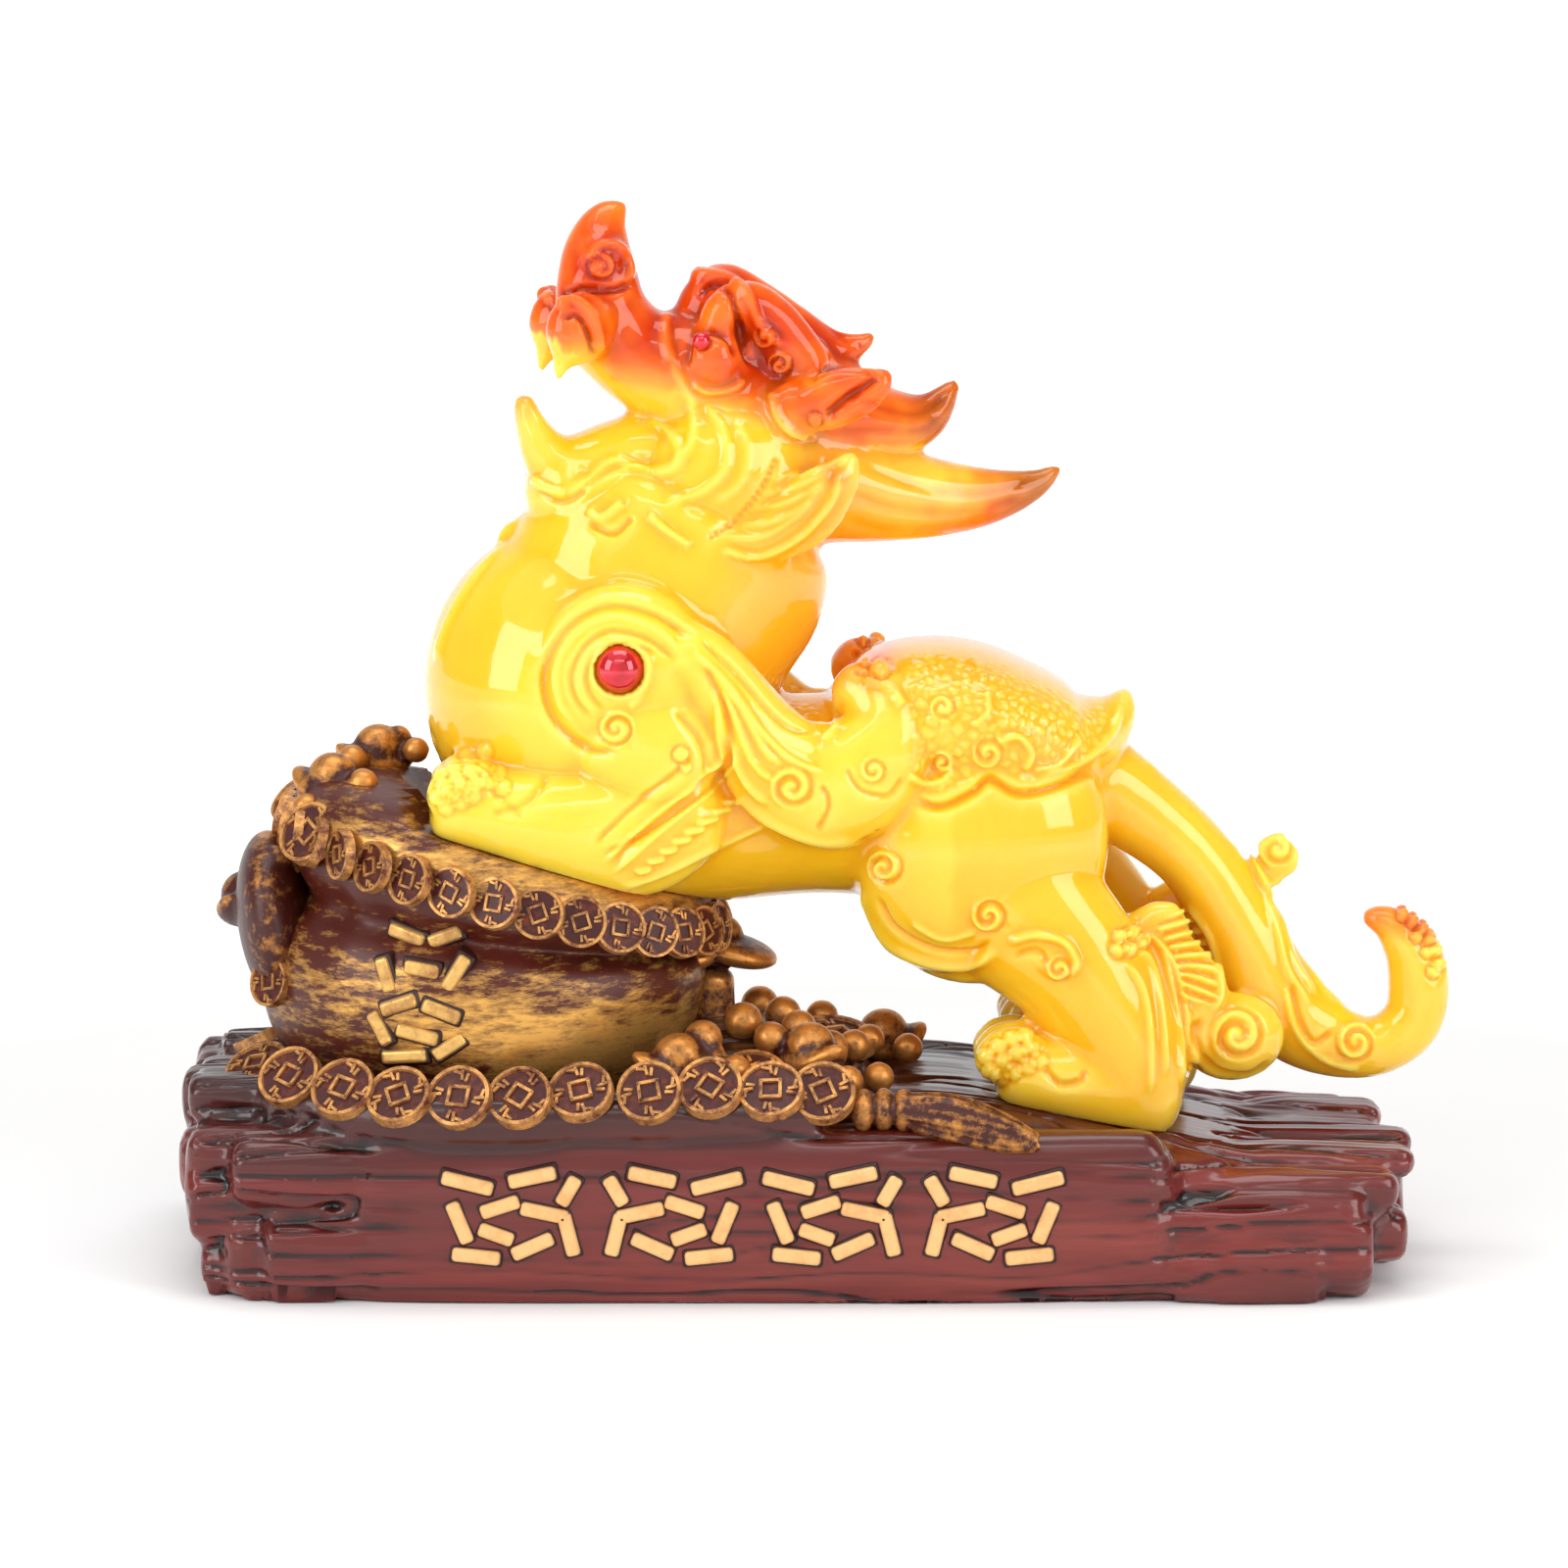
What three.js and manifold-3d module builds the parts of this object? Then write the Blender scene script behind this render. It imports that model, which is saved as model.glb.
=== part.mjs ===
// A cast resin pixiu, a winged lion-dragon, climbing over a treasure bowl on a split-log base.
// The figure is one translucent casting, the base with its bowl and coins is another,
// and four red stones are set into the figure. Millimetres, +Z up, the figure faces -X.
import * as THREE from "three";
import { SimplifyModifier } from "three/addons/modifiers/SimplifyModifier.js";
import { mergeVertices } from "three/addons/utils/BufferGeometryUtils.js";
import Module from "manifold-3d";

const wasm = await Module();
wasm.setup();

// Driving sizes. The origin is on the underside of the base, at its middle.
const baseLength = 312; // across the log ends
const baseDepth = 122; // front to back
const baseHeight = 47; // underside to the flat that carries the bowl
const figureHeight = 223; // hind heel to the top of the nose plume
const bowlRadius = 57; // at the bowl's widest
const rimTilt = 17; // degrees, the rim falls towards the figure's belly
const coinRadius = 8.3; // on the string along the bowl's foot
const collarCoinRadius = 6.6;
const coinPitch = 10.6; // from coin to coin round the collar, so that they overlap
const coinThickness = 3.2;
const shoulderStoneRadius = 6;
const eyeStoneRadius = 2.3;
const shoulderStoneProud = 3.2; // how far a shoulder stone stands out of the wing
const seatClearance = 0.3; // between castings, and between a stone and its socket
const seatMargin = 2; // how far the base rises past a seat before the seat is cut into it
const headYaw = 12; // degrees, the head turns a little to its left
const farStep = 8; // the right legs stand this much further back than the left
const strokeRelief = 1.4; // how far the gilt strokes stand out of the base
const strokeWidth = 4;

// The figure's forms are drawn this much finer. Each casting is joined, and then thinned
// to about a number of faces.
const fineness = 1.6;
const figureFaces = 4140;
const baseFaces = 4500;

// The figure is worked out on a 223-unit figure whose heel stands 50 units above zero,
// and every station below is a share of that height.
const figureUnits = 223;
const heelLevel = 50;
const scale = figureHeight / figureUnits;
const radians = THREE.MathUtils.degToRad;

function toSolid(geometry) {
  const bare = geometry.index ? geometry.toNonIndexed() : geometry.clone();
  for (const name of Object.keys(bare.attributes)) {
    if (name !== "position") bare.deleteAttribute(name);
  }
  const merged = mergeVertices(bare, 1e-4);
  return new wasm.Manifold(
    new wasm.Mesh({
      numProp: 3,
      vertProperties: merged.attributes.position.array,
      triVerts: new Uint32Array(merged.index.array),
    }),
  );
}

function toGeometry(solid) {
  const mesh = solid.getMesh();
  const position = new THREE.BufferAttribute(mesh.vertProperties, 3);
  const geometry = new THREE.BufferGeometry().setAttribute("position", position);
  return geometry.setIndex(new THREE.BufferAttribute(mesh.triVerts, 1));
}

const join = (solids) => solids.reduce((whole, next) => whole.add(next));

// Whether every edge of a closed surface belongs to just two faces.
function isClean(geometry) {
  const corners = geometry.index.array;
  const faces = new Map();
  for (let i = 0; i < corners.length; i++) {
    const next = i % 3 === 2 ? i - 2 : i + 1;
    const edge = [corners[i], corners[next]].sort((a, b) => a - b).join();
    faces.set(edge, (faces.get(edge) ?? 0) + 1);
  }
  return [...faces.values()].every((count) => count === 2);
}

// Thins a solid's surface where it is flattest, to about a number of faces. With creases
// its normals count too. A few more faces are kept while two folds of the thinned surface
// still meet in one edge.
async function thin(solid, faces, { creases = false } = {}) {
  const more = 20;
  const geometry = mergeVertices(toGeometry(solid), 1e-4);
  if (creases) geometry.computeVertexNormals();
  const spots = geometry.attributes.position.count;
  for (let kept = faces; kept / 2 < spots; kept += more) {
    const surplus = spots - Math.round(kept / 2);
    const thinned = await new SimplifyModifier().modify(geometry, surplus);
    thinned.deleteAttribute("normal");
    const welded = mergeVertices(thinned, 1e-3);
    if (isClean(welded)) return toSolid(welded);
  }
  return solid;
}

const bothSides = (make) => [...make(-1), ...make(1)];

// Squares off a circle's sine or cosine: 2 is round, 4 is a rounded square.
const squared = (value, squareness) => Math.sign(value) * Math.abs(value) ** (2 / squareness);

// Where a row of a limb's points lies along its length: the end rows crowd into the rounding.
function rowShare(row, rows, blunt) {
  const fromEnd = Math.min(row, rows - row);
  if (fromEnd >= 2) return blunt + ((1 - 2 * blunt) * (row - 2)) / (rows - 4);
  const near = fromEnd * blunt * 0.3;
  return row < rows / 2 ? near : 1 - near;
}

// A tapering limb. A station is [x, y, z, half height, half width]: the height lies in
// the upright plane of the limb's line, and the width across it. A sphere is drawn out
// along the line, so both ends close. blunt is the share of the length that rounds each end.
function limb(stations, { sides = 8, rings = 7, blunt = 0.12, squareness = 2, yaw = 0 } = {}) {
  const line = new THREE.CatmullRomCurve3(stations.map(([x, y, z]) => new THREE.Vector3(x, y, z)));
  const sizes = new THREE.CatmullRomCurve3(
    stations.map(([, , , high, wide]) => new THREE.Vector3(high, wide, 0)),
  );
  const rows = Math.round(rings);
  const geometry = new THREE.SphereGeometry(1, Math.round(sides), rows);
  const spots = geometry.attributes.position;
  const unit = new THREE.Vector3();
  for (let i = 0; i < spots.count; i++) {
    unit.fromBufferAttribute(spots, i);
    const row = Math.round((Math.acos(THREE.MathUtils.clamp(unit.y, -1, 1)) / Math.PI) * rows);
    const share = rowShare(row, rows, blunt);
    const around = Math.atan2(unit.z, unit.x);
    const toEnd = Math.min(share, 1 - share);
    const roundness = Math.sqrt(1 - (1 - Math.min(1, toEnd / blunt)) ** 2);
    const tangent = line.getTangent(share);
    const across = new THREE.Vector3(0, 1, 0).addScaledVector(tangent, -tangent.y).normalize();
    const up = new THREE.Vector3().crossVectors(tangent, across);
    const size = sizes.getPoint(share);
    const point = line.getPoint(share);
    point.addScaledVector(across, squared(Math.cos(around), squareness) * size.y * roundness);
    point.addScaledVector(up, squared(Math.sin(around), squareness) * size.x * roundness);
    spots.setXYZ(i, point.x, point.y, point.z);
  }
  return toSolid(turned(geometry, yaw));
}

// An ellipsoid at a centre, with its three half sizes, tipped in the upright plane.
function mass(centre, halves, { tip = 0, sides = 8, rings = 5, yaw = 0 } = {}) {
  const geometry = new THREE.SphereGeometry(1, Math.round(sides), Math.round(rings));
  geometry.rotateX(Math.PI / 2);
  geometry.scale(...halves);
  geometry.rotateY(radians(tip));
  geometry.translate(...centre);
  return toSolid(turned(geometry, yaw));
}

// A point of the figure's own units in the part's millimetres.
const place = ([x, y, z]) => [x * scale, y * scale, (z - heelLevel) * scale + baseHeight];
const placeStation = ([x, y, z, high, wide]) => [...place([x, y, z]), high * scale, wide * scale];
const finer = ({ sides, rings, ...rest }) => ({
  ...rest,
  sides: sides * fineness,
  rings: rings * fineness,
});
const figureLimb = (stations, options) => limb(stations.map(placeStation), finer(options));
const figureMass = (centre, halves, options) =>
  mass(
    place(centre),
    halves.map((half) => half * scale),
    finer(options),
  );

// Turns a piece of the head about an upright line through the neck.
const [neckX] = place([-25, 0, 0]);
function turned(geometry, yaw) {
  if (yaw === 0) return geometry;
  return geometry.translate(-neckX, 0, 0).rotateZ(radians(yaw)).translate(neckX, 0, 0);
}

// The seats: forepaws, elbows and belly rest on the plane of the bowl's tilted rim,
// and the hind soles on the falling top of the logs.
const [foreX, , foreZ] = place([-92, 0, 119]);
const [hindX, , hindZ] = place([46, 0, 50.2]);
const foreLevel = (x) => foreZ - Math.tan(radians(rimTilt)) * (x - foreX);
const hindSlope = 0.2;
const hindLevel = (x) => hindZ - hindSlope * (x - hindX);

// A sheared block between two x values, with its floor or its roof on a seat's plane.
function seatBlock(level, from, to, halfDepth, thickness) {
  const geometry = new THREE.BoxGeometry(to - from, halfDepth * 2, Math.abs(thickness));
  geometry.translate((from + to) / 2, 0, thickness / 2);
  const spots = geometry.attributes.position;
  for (let i = 0; i < spots.count; i++) {
    spots.setZ(i, spots.getZ(i) + level(spots.getX(i)));
  }
  return toSolid(geometry);
}

function trunk() {
  return [
    figureMass([-55, 0, 149.5], [38.5, 40, 42], { sides: 14, rings: 9 }),
    figureLimb(
      [
        [-70, 0, 128, 20, 26],
        [-45, 0, 124, 31, 35],
        [-18, 0, 122, 27.5, 33],
        [8, 0, 122, 25.5, 29],
        [34, 0, 123, 29, 30],
        [60, 0, 122, 30, 31],
        [84, 0, 124, 17, 20],
      ],
      { sides: 12, rings: 9, blunt: 0.16 },
    ),
    figureLimb(
      [
        [-48, 0, 146, 37, 34],
        [-37, 0, 168, 39, 33],
        [-27, 0, 186, 39.5, 29],
        [-18, 0, 204, 31, 25],
      ],
      { sides: 12, rings: 6, blunt: 0.2 },
    ),
    // The knob of the crest that runs down the front of the chest.
    figureLimb(
      [
        [-60, 0, 190, 2.5, 3.5],
        [-70, 0, 189, 3, 3],
        [-72, 0, 185, 3, 3],
      ],
      { sides: 6, rings: 5, blunt: 0.2 },
    ),
  ];
}

// The saddle of scales over the hips, with its upturned tip.
function saddle() {
  return [
    figureLimb(
      [
        [13, 0, 146, 7, 20],
        [24, 0, 146, 14.5, 31],
        [41, 0, 144, 17.5, 36],
        [58, 0, 139.5, 16, 35],
        [73, 0, 137.5, 11.5, 25],
        [82, 0, 142, 6.5, 12],
        [86, 0, 149, 1.5, 4],
      ],
      { sides: 10, rings: 9, blunt: 0.06, squareness: 2.4 },
    ),
  ];
}

function wing(side) {
  const y = (out) => side * out;
  return [
    figureMass([-42, y(33), 158.5], [21.5, 12, 21.5], { sides: 14, rings: 7 }),
    figureLimb(
      [
        [-34, y(34), 166, 9, 9],
        [-20, y(34), 158, 9, 9],
        [-8, y(32), 141, 11.5, 9.5],
        [4, y(30), 129.5, 15, 10],
        [17, y(30), 132.5, 15.5, 9.5],
        [23.5, y(28), 143, 11.5, 9],
        [19, y(24), 150.5, 9, 8],
        [10.5, y(21), 153, 5, 6],
      ],
      { sides: 8, rings: 11, blunt: 0.07 },
    ),
  ];
}

// Moves a right limb's stations back by the step, and leaves a left one where it is.
const step = (side, stations) =>
  stations.map(([x, ...rest]) => [side > 0 ? x + farStep : x, ...rest]);

// Three knuckles across a paw. A row is [x, z, half height] from the wrist to the claw.
function toes(side, across, row) {
  const spread = 8;
  return [-1, 0, 1].map((toe) =>
    figureLimb(
      step(
        side,
        row.map(([x, z, high]) => [x, side * (across + spread * toe), z, high, 4.6]),
      ),
      { sides: 6, rings: 5, blunt: 0.3 },
    ),
  );
}

function foreleg(side) {
  const y = (out) => side * out;
  return [
    figureLimb(
      step(side, [
        [-46, y(32), 150, 17, 12],
        [-34, y(33), 138, 17, 12],
        [-22, y(33), 127, 11, 10],
      ]),
      { sides: 8, rings: 6, blunt: 0.24 },
    ),
    figureLimb(
      step(side, [
        [-18, y(32), 126, 9, 9],
        [-36, y(34), 118, 16, 11],
        [-56, y(34), 118, 15, 12],
        [-76, y(34), 122, 11.5, 12],
        [-90, y(34), 125, 9, 11.5],
      ]),
      { sides: 10, rings: 7, blunt: 0.1 },
    ),
    ...toes(side, 34, [
      [-74, 131, 5],
      [-83.5, 130.5, 5.4],
      [-88, 123, 4.8],
    ]),
  ];
}

function hindleg(side) {
  const y = (out) => side * out;
  const back = side > 0 ? farStep : 0;
  return [
    figureMass([48, y(19), 111], [32, 19, 35], { tip: 14, sides: 14, rings: 8 }),
    figureLimb(
      step(side, [
        [46, y(20), 108, 20, 15],
        [58, y(22), 96, 21, 16],
        [73.5, y(24), 80, 17.5, 14.5],
        [84, y(25), 61, 15, 13],
        [89, y(25), 44, 13.5, 12],
      ]),
      { sides: 10, rings: 7, blunt: 0.12 },
    ),
    figureLimb(
      step(side, [
        [51, y(26), 55, 9, 11],
        [66, y(26), 54, 12, 12.5],
        [84, y(25), 50, 13, 12.5],
        [99, y(24), 47, 10, 11],
      ]),
      { sides: 8, rings: 6, blunt: 0.14 },
    ),
    ...toes(side, 26, [
      [63, 63.5, 5],
      [53, 62, 5.4],
      [48.5, 55, 4.8],
    ]),
    // The fringe of hair behind the hock, and the curl it ends in.
    figureLimb(
      step(side, [
        [97, y(18), 97, 3, 3],
        [93, y(18), 88, 11, 5],
        [93, y(19), 76, 17, 7],
        [98, y(19), 63, 15, 8],
        [103, y(18), 56, 8, 7],
      ]),
      { sides: 8, rings: 7, blunt: 0.08 },
    ),
    figureMass([112 + back, y(16), 62], [13.5, 9, 11.5], { sides: 10, rings: 6 }),
  ];
}

function tail() {
  return [
    figureLimb(
      [
        [70, 0, 130, 14, 14],
        [87, 0, 119, 11.5, 11.5],
        [103, 0, 105.5, 10, 10.5],
        [114, 0, 88, 11, 10.5],
        [122, 0, 71, 12.5, 10.5],
        [134, 0, 60, 10.5, 9.5],
        [149, 0, 56, 7.8, 8.5],
        [159.5, 0, 63, 7.7, 8],
        [160.5, 0, 77, 7.7, 7.5],
        [154, 0, 87.5, 5, 6],
        [146, 0, 90.5, 2, 3],
      ],
      { sides: 8, rings: 18, blunt: 0.03 },
    ),
    figureLimb(
      [
        [107, 0, 96, 5, 4],
        [117, 0, 98.5, 4.4, 3.6],
        [124, 0, 103, 3.6, 3.2],
      ],
      { sides: 6, rings: 5, blunt: 0.1 },
    ),
    figureMass([124.5, 0, 105.5], [5.4, 3.4, 5.4], { sides: 9, rings: 4 }),
  ];
}

const ofHead = (options) => ({ ...options, yaw: headYaw });

function jaws() {
  return [
    figureMass([-15, 0, 216], [22, 21, 22], ofHead({ sides: 10, rings: 7 })),
    figureLimb(
      [
        [-14, 0, 224, 22, 20],
        [-28, 0, 229.5, 16, 17],
        [-40, 0, 235, 12.5, 14],
        [-47.5, 0, 243.5, 12, 12.5],
        [-49, 0, 254, 10.3, 10.5],
        [-48.6, 0, 262, 8.3, 8.5],
        [-46, 0, 268.5, 5.4, 5.5],
        [-41.5, 0, 272.3, 1.2, 2],
      ],
      ofHead({ sides: 9, rings: 10, blunt: 0.04 }),
    ),
    figureLimb(
      [
        [-20, 0, 205, 17, 17],
        [-38, 0, 207, 12.5, 15],
        [-52, 0, 205.5, 10.3, 12.5],
        [-61, 0, 208.5, 7.2, 9],
        [-66, 0, 216.5, 4.2, 6],
        [-68.6, 0, 225, 2.4, 4],
      ],
      ofHead({ sides: 9, rings: 8, blunt: 0.07 }),
    ),
    figureMass([-54.5, 0, 200], [13.5, 13.5, 12], ofHead({ sides: 9, rings: 6 })),
    // The crest: a rolled lock over the middle of the brow, swept back to a tip.
    figureLimb(
      [
        [-22, 0, 236, 5.5, 6],
        [-23.5, 0, 245, 5.8, 6.5],
        [-17.5, 0, 250.5, 6.6, 6.5],
        [-8.5, 0, 246.5, 6.2, 6.5],
        [1, 0, 240.5, 5.8, 6],
        [10, 0, 235.5, 4.8, 5],
        [17.5, 0, 235.5, 3.2, 3.5],
        [23, 0, 239, 1, 1.2],
      ],
      ofHead({ sides: 7, rings: 10, blunt: 0.04 }),
    ),
  ];
}

function face(side) {
  const y = (out) => side * out;
  return [
    figureMass([-56, y(12.5), 242], [8.5, 6.5, 9.5], ofHead({ tip: 20, sides: 8, rings: 5 })),
    figureLimb(
      [
        [-58.5, y(12.5), 238, 3.6, 3.4],
        [-60.5, y(12.5), 233.5, 2.6, 2.6],
        [-61.5, y(12.5), 228.5, 0.8, 0.8],
      ],
      ofHead({ sides: 5, rings: 5, blunt: 0.1 }),
    ),
    figureMass([-49.5, y(6.5), 260], [6.2, 5, 6.2], ofHead({ sides: 7, rings: 5 })),
    figureMass([-17, y(14), 204], [21, 13, 19], ofHead({ sides: 10, rings: 6 })),
    // The fin behind the cheek.
    figureLimb(
      [
        [-24, y(24), 189, 3, 3],
        [-13, y(26), 189, 6, 3],
        [-3, y(27), 194, 8, 3],
        [3, y(27), 200.5, 8, 3],
        [8, y(27), 206, 5.5, 2.6],
        [11, y(27), 212, 1, 1.2],
      ],
      ofHead({ sides: 6, rings: 7, blunt: 0.06 }),
    ),
    // A rolled lock over the eye, the eye, and the ear with its root.
    figureLimb(
      [
        [-22.6, y(13), 238, 4.5, 5],
        [-19.6, y(13), 246, 5, 6],
        [-13.5, y(13.5), 247.8, 5.8, 6],
        [-7, y(14), 243, 6.4, 6],
        [-1, y(15), 235.5, 6.5, 6],
        [5, y(16), 229, 5, 5],
      ],
      ofHead({ sides: 7, rings: 8, blunt: 0.08 }),
    ),
    figureMass([-22.5, y(15.5), 234.5], [7, 6.5, 7.5], ofHead({ sides: 8, rings: 5 })),
    figureMass([-3.5, y(20), 221.5], [6.5, 5.5, 7], ofHead({ sides: 7, rings: 5 })),
    figureLimb(
      [
        [-3, y(21), 220, 5, 4],
        [4.5, y(24), 223.5, 7.4, 4.5],
        [12, y(25), 226, 6.8, 4],
        [17.5, y(26), 228.5, 4.3, 3.2],
        [21, y(26), 231.5, 1, 1.2],
      ],
      ofHead({ sides: 6, rings: 7, blunt: 0.08 }),
    ),
  ];
}

// The two swept horns of mane behind the head.
function mane() {
  return [
    figureLimb(
      [
        [-8, 0, 224, 16, 18],
        [10, 0, 219, 14, 16],
        [24.5, 0, 215.5, 10, 11.5],
        [36, 0, 217.5, 6.2, 6.5],
        [44.2, 0, 226.5, 1.2, 1.5],
      ],
      ofHead({ sides: 8, rings: 7, blunt: 0.05 }),
    ),
    figureLimb(
      [
        [-10, 0, 204, 22, 22],
        [8, 0, 201.5, 17, 18],
        [24, 0, 198, 13, 14],
        [38, 0, 196.3, 10.3, 10.5],
        [52, 0, 196.3, 7.4, 7.5],
        [64, 0, 199, 4.2, 4],
        [72, 0, 204, 1, 1.2],
      ],
      ofHead({ sides: 8, rings: 8, blunt: 0.04 }),
    ),
  ];
}

// The whole figure, cut flat where it sits.
const pawReach = -130 * scale; // past the forepaws
const seatFrom = -94 * scale; // just past the forepaws
const bellyEnd = -16 * scale; // where the belly leaves the bowl
const hindFrom = 30 * scale; // before and behind the hind feet
const hindTo = 110 * scale;
async function figure() {
  const under = 60;
  const whole = join([
    ...trunk(),
    ...saddle(),
    ...tail(),
    ...jaws(),
    ...mane(),
    ...bothSides((side) => [...wing(side), ...foreleg(side), ...hindleg(side), ...face(side)]),
  ]);
  return (await thin(whole, figureFaces))
    .subtract(seatBlock(foreLevel, pawReach, bellyEnd, baseDepth, -under))
    .subtract(seatBlock(hindLevel, hindFrom, hindTo, baseDepth, -under));
}

// Stones: domed, set half into the figure with a clearance all round.
function stones() {
  const list = [];
  for (const [side, word] of [
    [-1, "left"],
    [1, "right"],
  ]) {
    // The disc's outer face is 45 units from the middle plane.
    const [x, y, z] = place([-42.4, side * 45, 159.7]);
    const depth = shoulderStoneRadius - shoulderStoneProud;
    const shoulder = [x, y - side * depth, z];
    list.push({ name: `shoulder_stone_${word}`, centre: shoulder, radius: shoulderStoneRadius });
    const eye = new THREE.BufferGeometry();
    const spot = new Float32Array(place([-26.5, side * 20.2, 239]));
    eye.setAttribute("position", new THREE.BufferAttribute(spot, 3));
    turned(eye, headYaw);
    list.push({ name: `eye_stone_${word}`, centre: [...spot], radius: eyeStoneRadius });
  }
  return list;
}

const stone = (centre, radius) => mass(centre, [radius, radius, radius], { sides: 9, rings: 6 });

// The base: a core of wood with split logs round it, cut flat below.
const half = baseLength / 2;
const deep = baseDepth / 2;
const logTop = (x) => Math.min(baseHeight, hindLevel(x)) + seatMargin;

// A split log lying along X: a many-sided prism with blunt, drawn-in ends.
// from and to are shares of the half length, across and wide of the half depth,
// level and high of the base's height.
function splitLog([from, to, across, level, high, wide, turn]) {
  const sides = 6;
  const geometry = new THREE.CylinderGeometry(1, 1, 1, sides, 3);
  geometry.rotateY(radians(turn));
  const spots = geometry.attributes.position;
  for (let i = 0; i < spots.count; i++) {
    const along = spots.getY(i);
    const atEnd = Math.abs(along) > 0.4;
    const share = 0.5 + Math.sign(along) * (atEnd ? 0.5 : 0.45);
    const drawn = atEnd ? 0.75 : 1;
    spots.setXYZ(
      i,
      half * THREE.MathUtils.lerp(from, to, share),
      deep * (across - wide * drawn * spots.getX(i)),
      baseHeight * (level + high * drawn * spots.getZ(i)),
    );
  }
  return toSolid(geometry);
}

function logs() {
  const core = 14;
  const coreRun = [
    [-half + 12, deep - 10],
    [-half * 0.6, deep - 4],
    [0, deep - 3],
    [hindX, deep - 3],
    [half * 0.72, deep - 7],
    [half - 12, deep - 14],
  ].map(([x, wide]) => [x, 0, core, logTop(x) - core, wide]);
  const front = deep * 0.14;
  const inscribed = [-0.72, 0, 0.62].map((share) => [
    half * share,
    -deep + front,
    baseHeight * 0.46,
    baseHeight * 0.45,
    front,
  ]);
  return [
    limb(coreRun, { sides: 12, rings: 8, blunt: 0.02, squareness: 5 }),
    limb(inscribed, { sides: 8, rings: 5, blunt: 0.05, squareness: 5 }),
    ...[
      [-1.0, -0.6, 0.55, 0.74, 0.3, 0.34, 10],
      [-0.97, -0.5, -0.62, 0.58, 0.3, 0.28, 25],
      [-0.9, -0.35, -0.78, 0.2, 0.28, 0.18, 0],
      [-0.99, -0.6, -0.05, 0.46, 0.42, 0.34, 40],
      [-0.94, -0.3, 0.78, 0.3, 0.36, 0.2, 15],
      [0.3, 0.93, -0.8, 0.25, 0.3, 0.18, 5],
      [0.45, 0.96, -0.58, 0.42, 0.22, 0.24, 30],
      [0.55, 1.0, -0.12, 0.3, 0.3, 0.32, 20],
      [0.4, 0.98, 0.45, 0.34, 0.3, 0.32, 35],
      [-0.6, 0.5, 0.84, 0.5, 0.44, 0.16, 12],
      [0.3, 0.93, 0.8, 0.26, 0.3, 0.18, 0],
    ].map(splitLog),
  ];
}

// The bowl's axis stands under the forepaws, and its rim is as high as their seat.
const [bowlCentreX] = place([-79, 0, 0]);
const rimShift = 7; // how far the leaning collar has moved towards the tail
const bowlFlat = 0.93; // the bowl is this much narrower from front to back
const bowlHeight = foreLevel(bowlCentreX + rimShift) - baseHeight + seatMargin;
const rimFall = Math.tan(radians(rimTilt));

// A point on the bowl or its collar, at an angle round the axis.
function onBowl(angle, share, levelShare) {
  const x = Math.cos(angle) * bowlRadius * share;
  const y = Math.sin(angle) * bowlRadius * share * bowlFlat;
  const level = levelShare * bowlHeight;
  const lean = THREE.MathUtils.smoothstep(levelShare, 0.3, 1);
  return [x + rimShift * lean + bowlCentreX, y, baseHeight + level - rimFall * x * lean];
}

function bowl() {
  const profile = [
    [0, -0.2],
    [0.72, -0.2],
    [0.9, 0.1],
    [1.0, 0.38],
    [0.95, 0.56],
    [0.86, 0.64],
    [0.94, 0.72],
    [0.94, 0.88],
    [0.8, 1],
    [0, 1.1],
  ];
  const points = profile.map(([share, level]) => new THREE.Vector2(share, level));
  const geometry = new THREE.LatheGeometry(points, 18);
  const spots = geometry.attributes.position;
  for (let i = 0; i < spots.count; i++) {
    const [x, level, z] = [spots.getX(i), spots.getY(i), spots.getZ(i)];
    spots.setXYZ(i, ...onBowl(Math.atan2(-z, x), Math.hypot(x, z), level));
  }
  return toSolid(geometry);
}

// A coin: a short prism whose face looks along a direction.
function coin(centre, facing, radius = coinRadius) {
  const geometry = new THREE.CylinderGeometry(radius, radius, coinThickness, 7);
  const turn = new THREE.Quaternion().setFromUnitVectors(
    new THREE.Vector3(0, 1, 0),
    new THREE.Vector3(...facing).normalize(),
  );
  return toSolid(geometry.applyQuaternion(turn).translate(...centre));
}

// The string of coins round the bowl's leaning collar, and its end that hangs down the left.
function collarCoins() {
  const collarShare = 0.95;
  const count = Math.round((2 * Math.PI * bowlRadius * collarShare) / coinPitch);
  const solids = [];
  for (let i = 0; i < count; i++) {
    const angle = (i / count) * Math.PI * 2;
    const wobble = 0.22 + 0.12 * Math.sin(i * 2.4);
    const facing = [Math.cos(angle), Math.sin(angle), wobble];
    solids.push(coin(onBowl(angle, collarShare, 0.81), facing, collarCoinRadius));
  }
  const hanging = [
    [188, 0.96, 0.7],
    [194, 1.0, 0.6],
    [200, 1.02, 0.5],
    [206, 1.03, 0.41],
  ];
  for (const [degrees, share, level] of hanging) {
    const angle = radians(degrees);
    const facing = [Math.cos(angle), Math.sin(angle) - 0.5, 0.3];
    solids.push(coin(onBowl(angle, share, level), facing, collarCoinRadius));
  }
  return solids;
}

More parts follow.
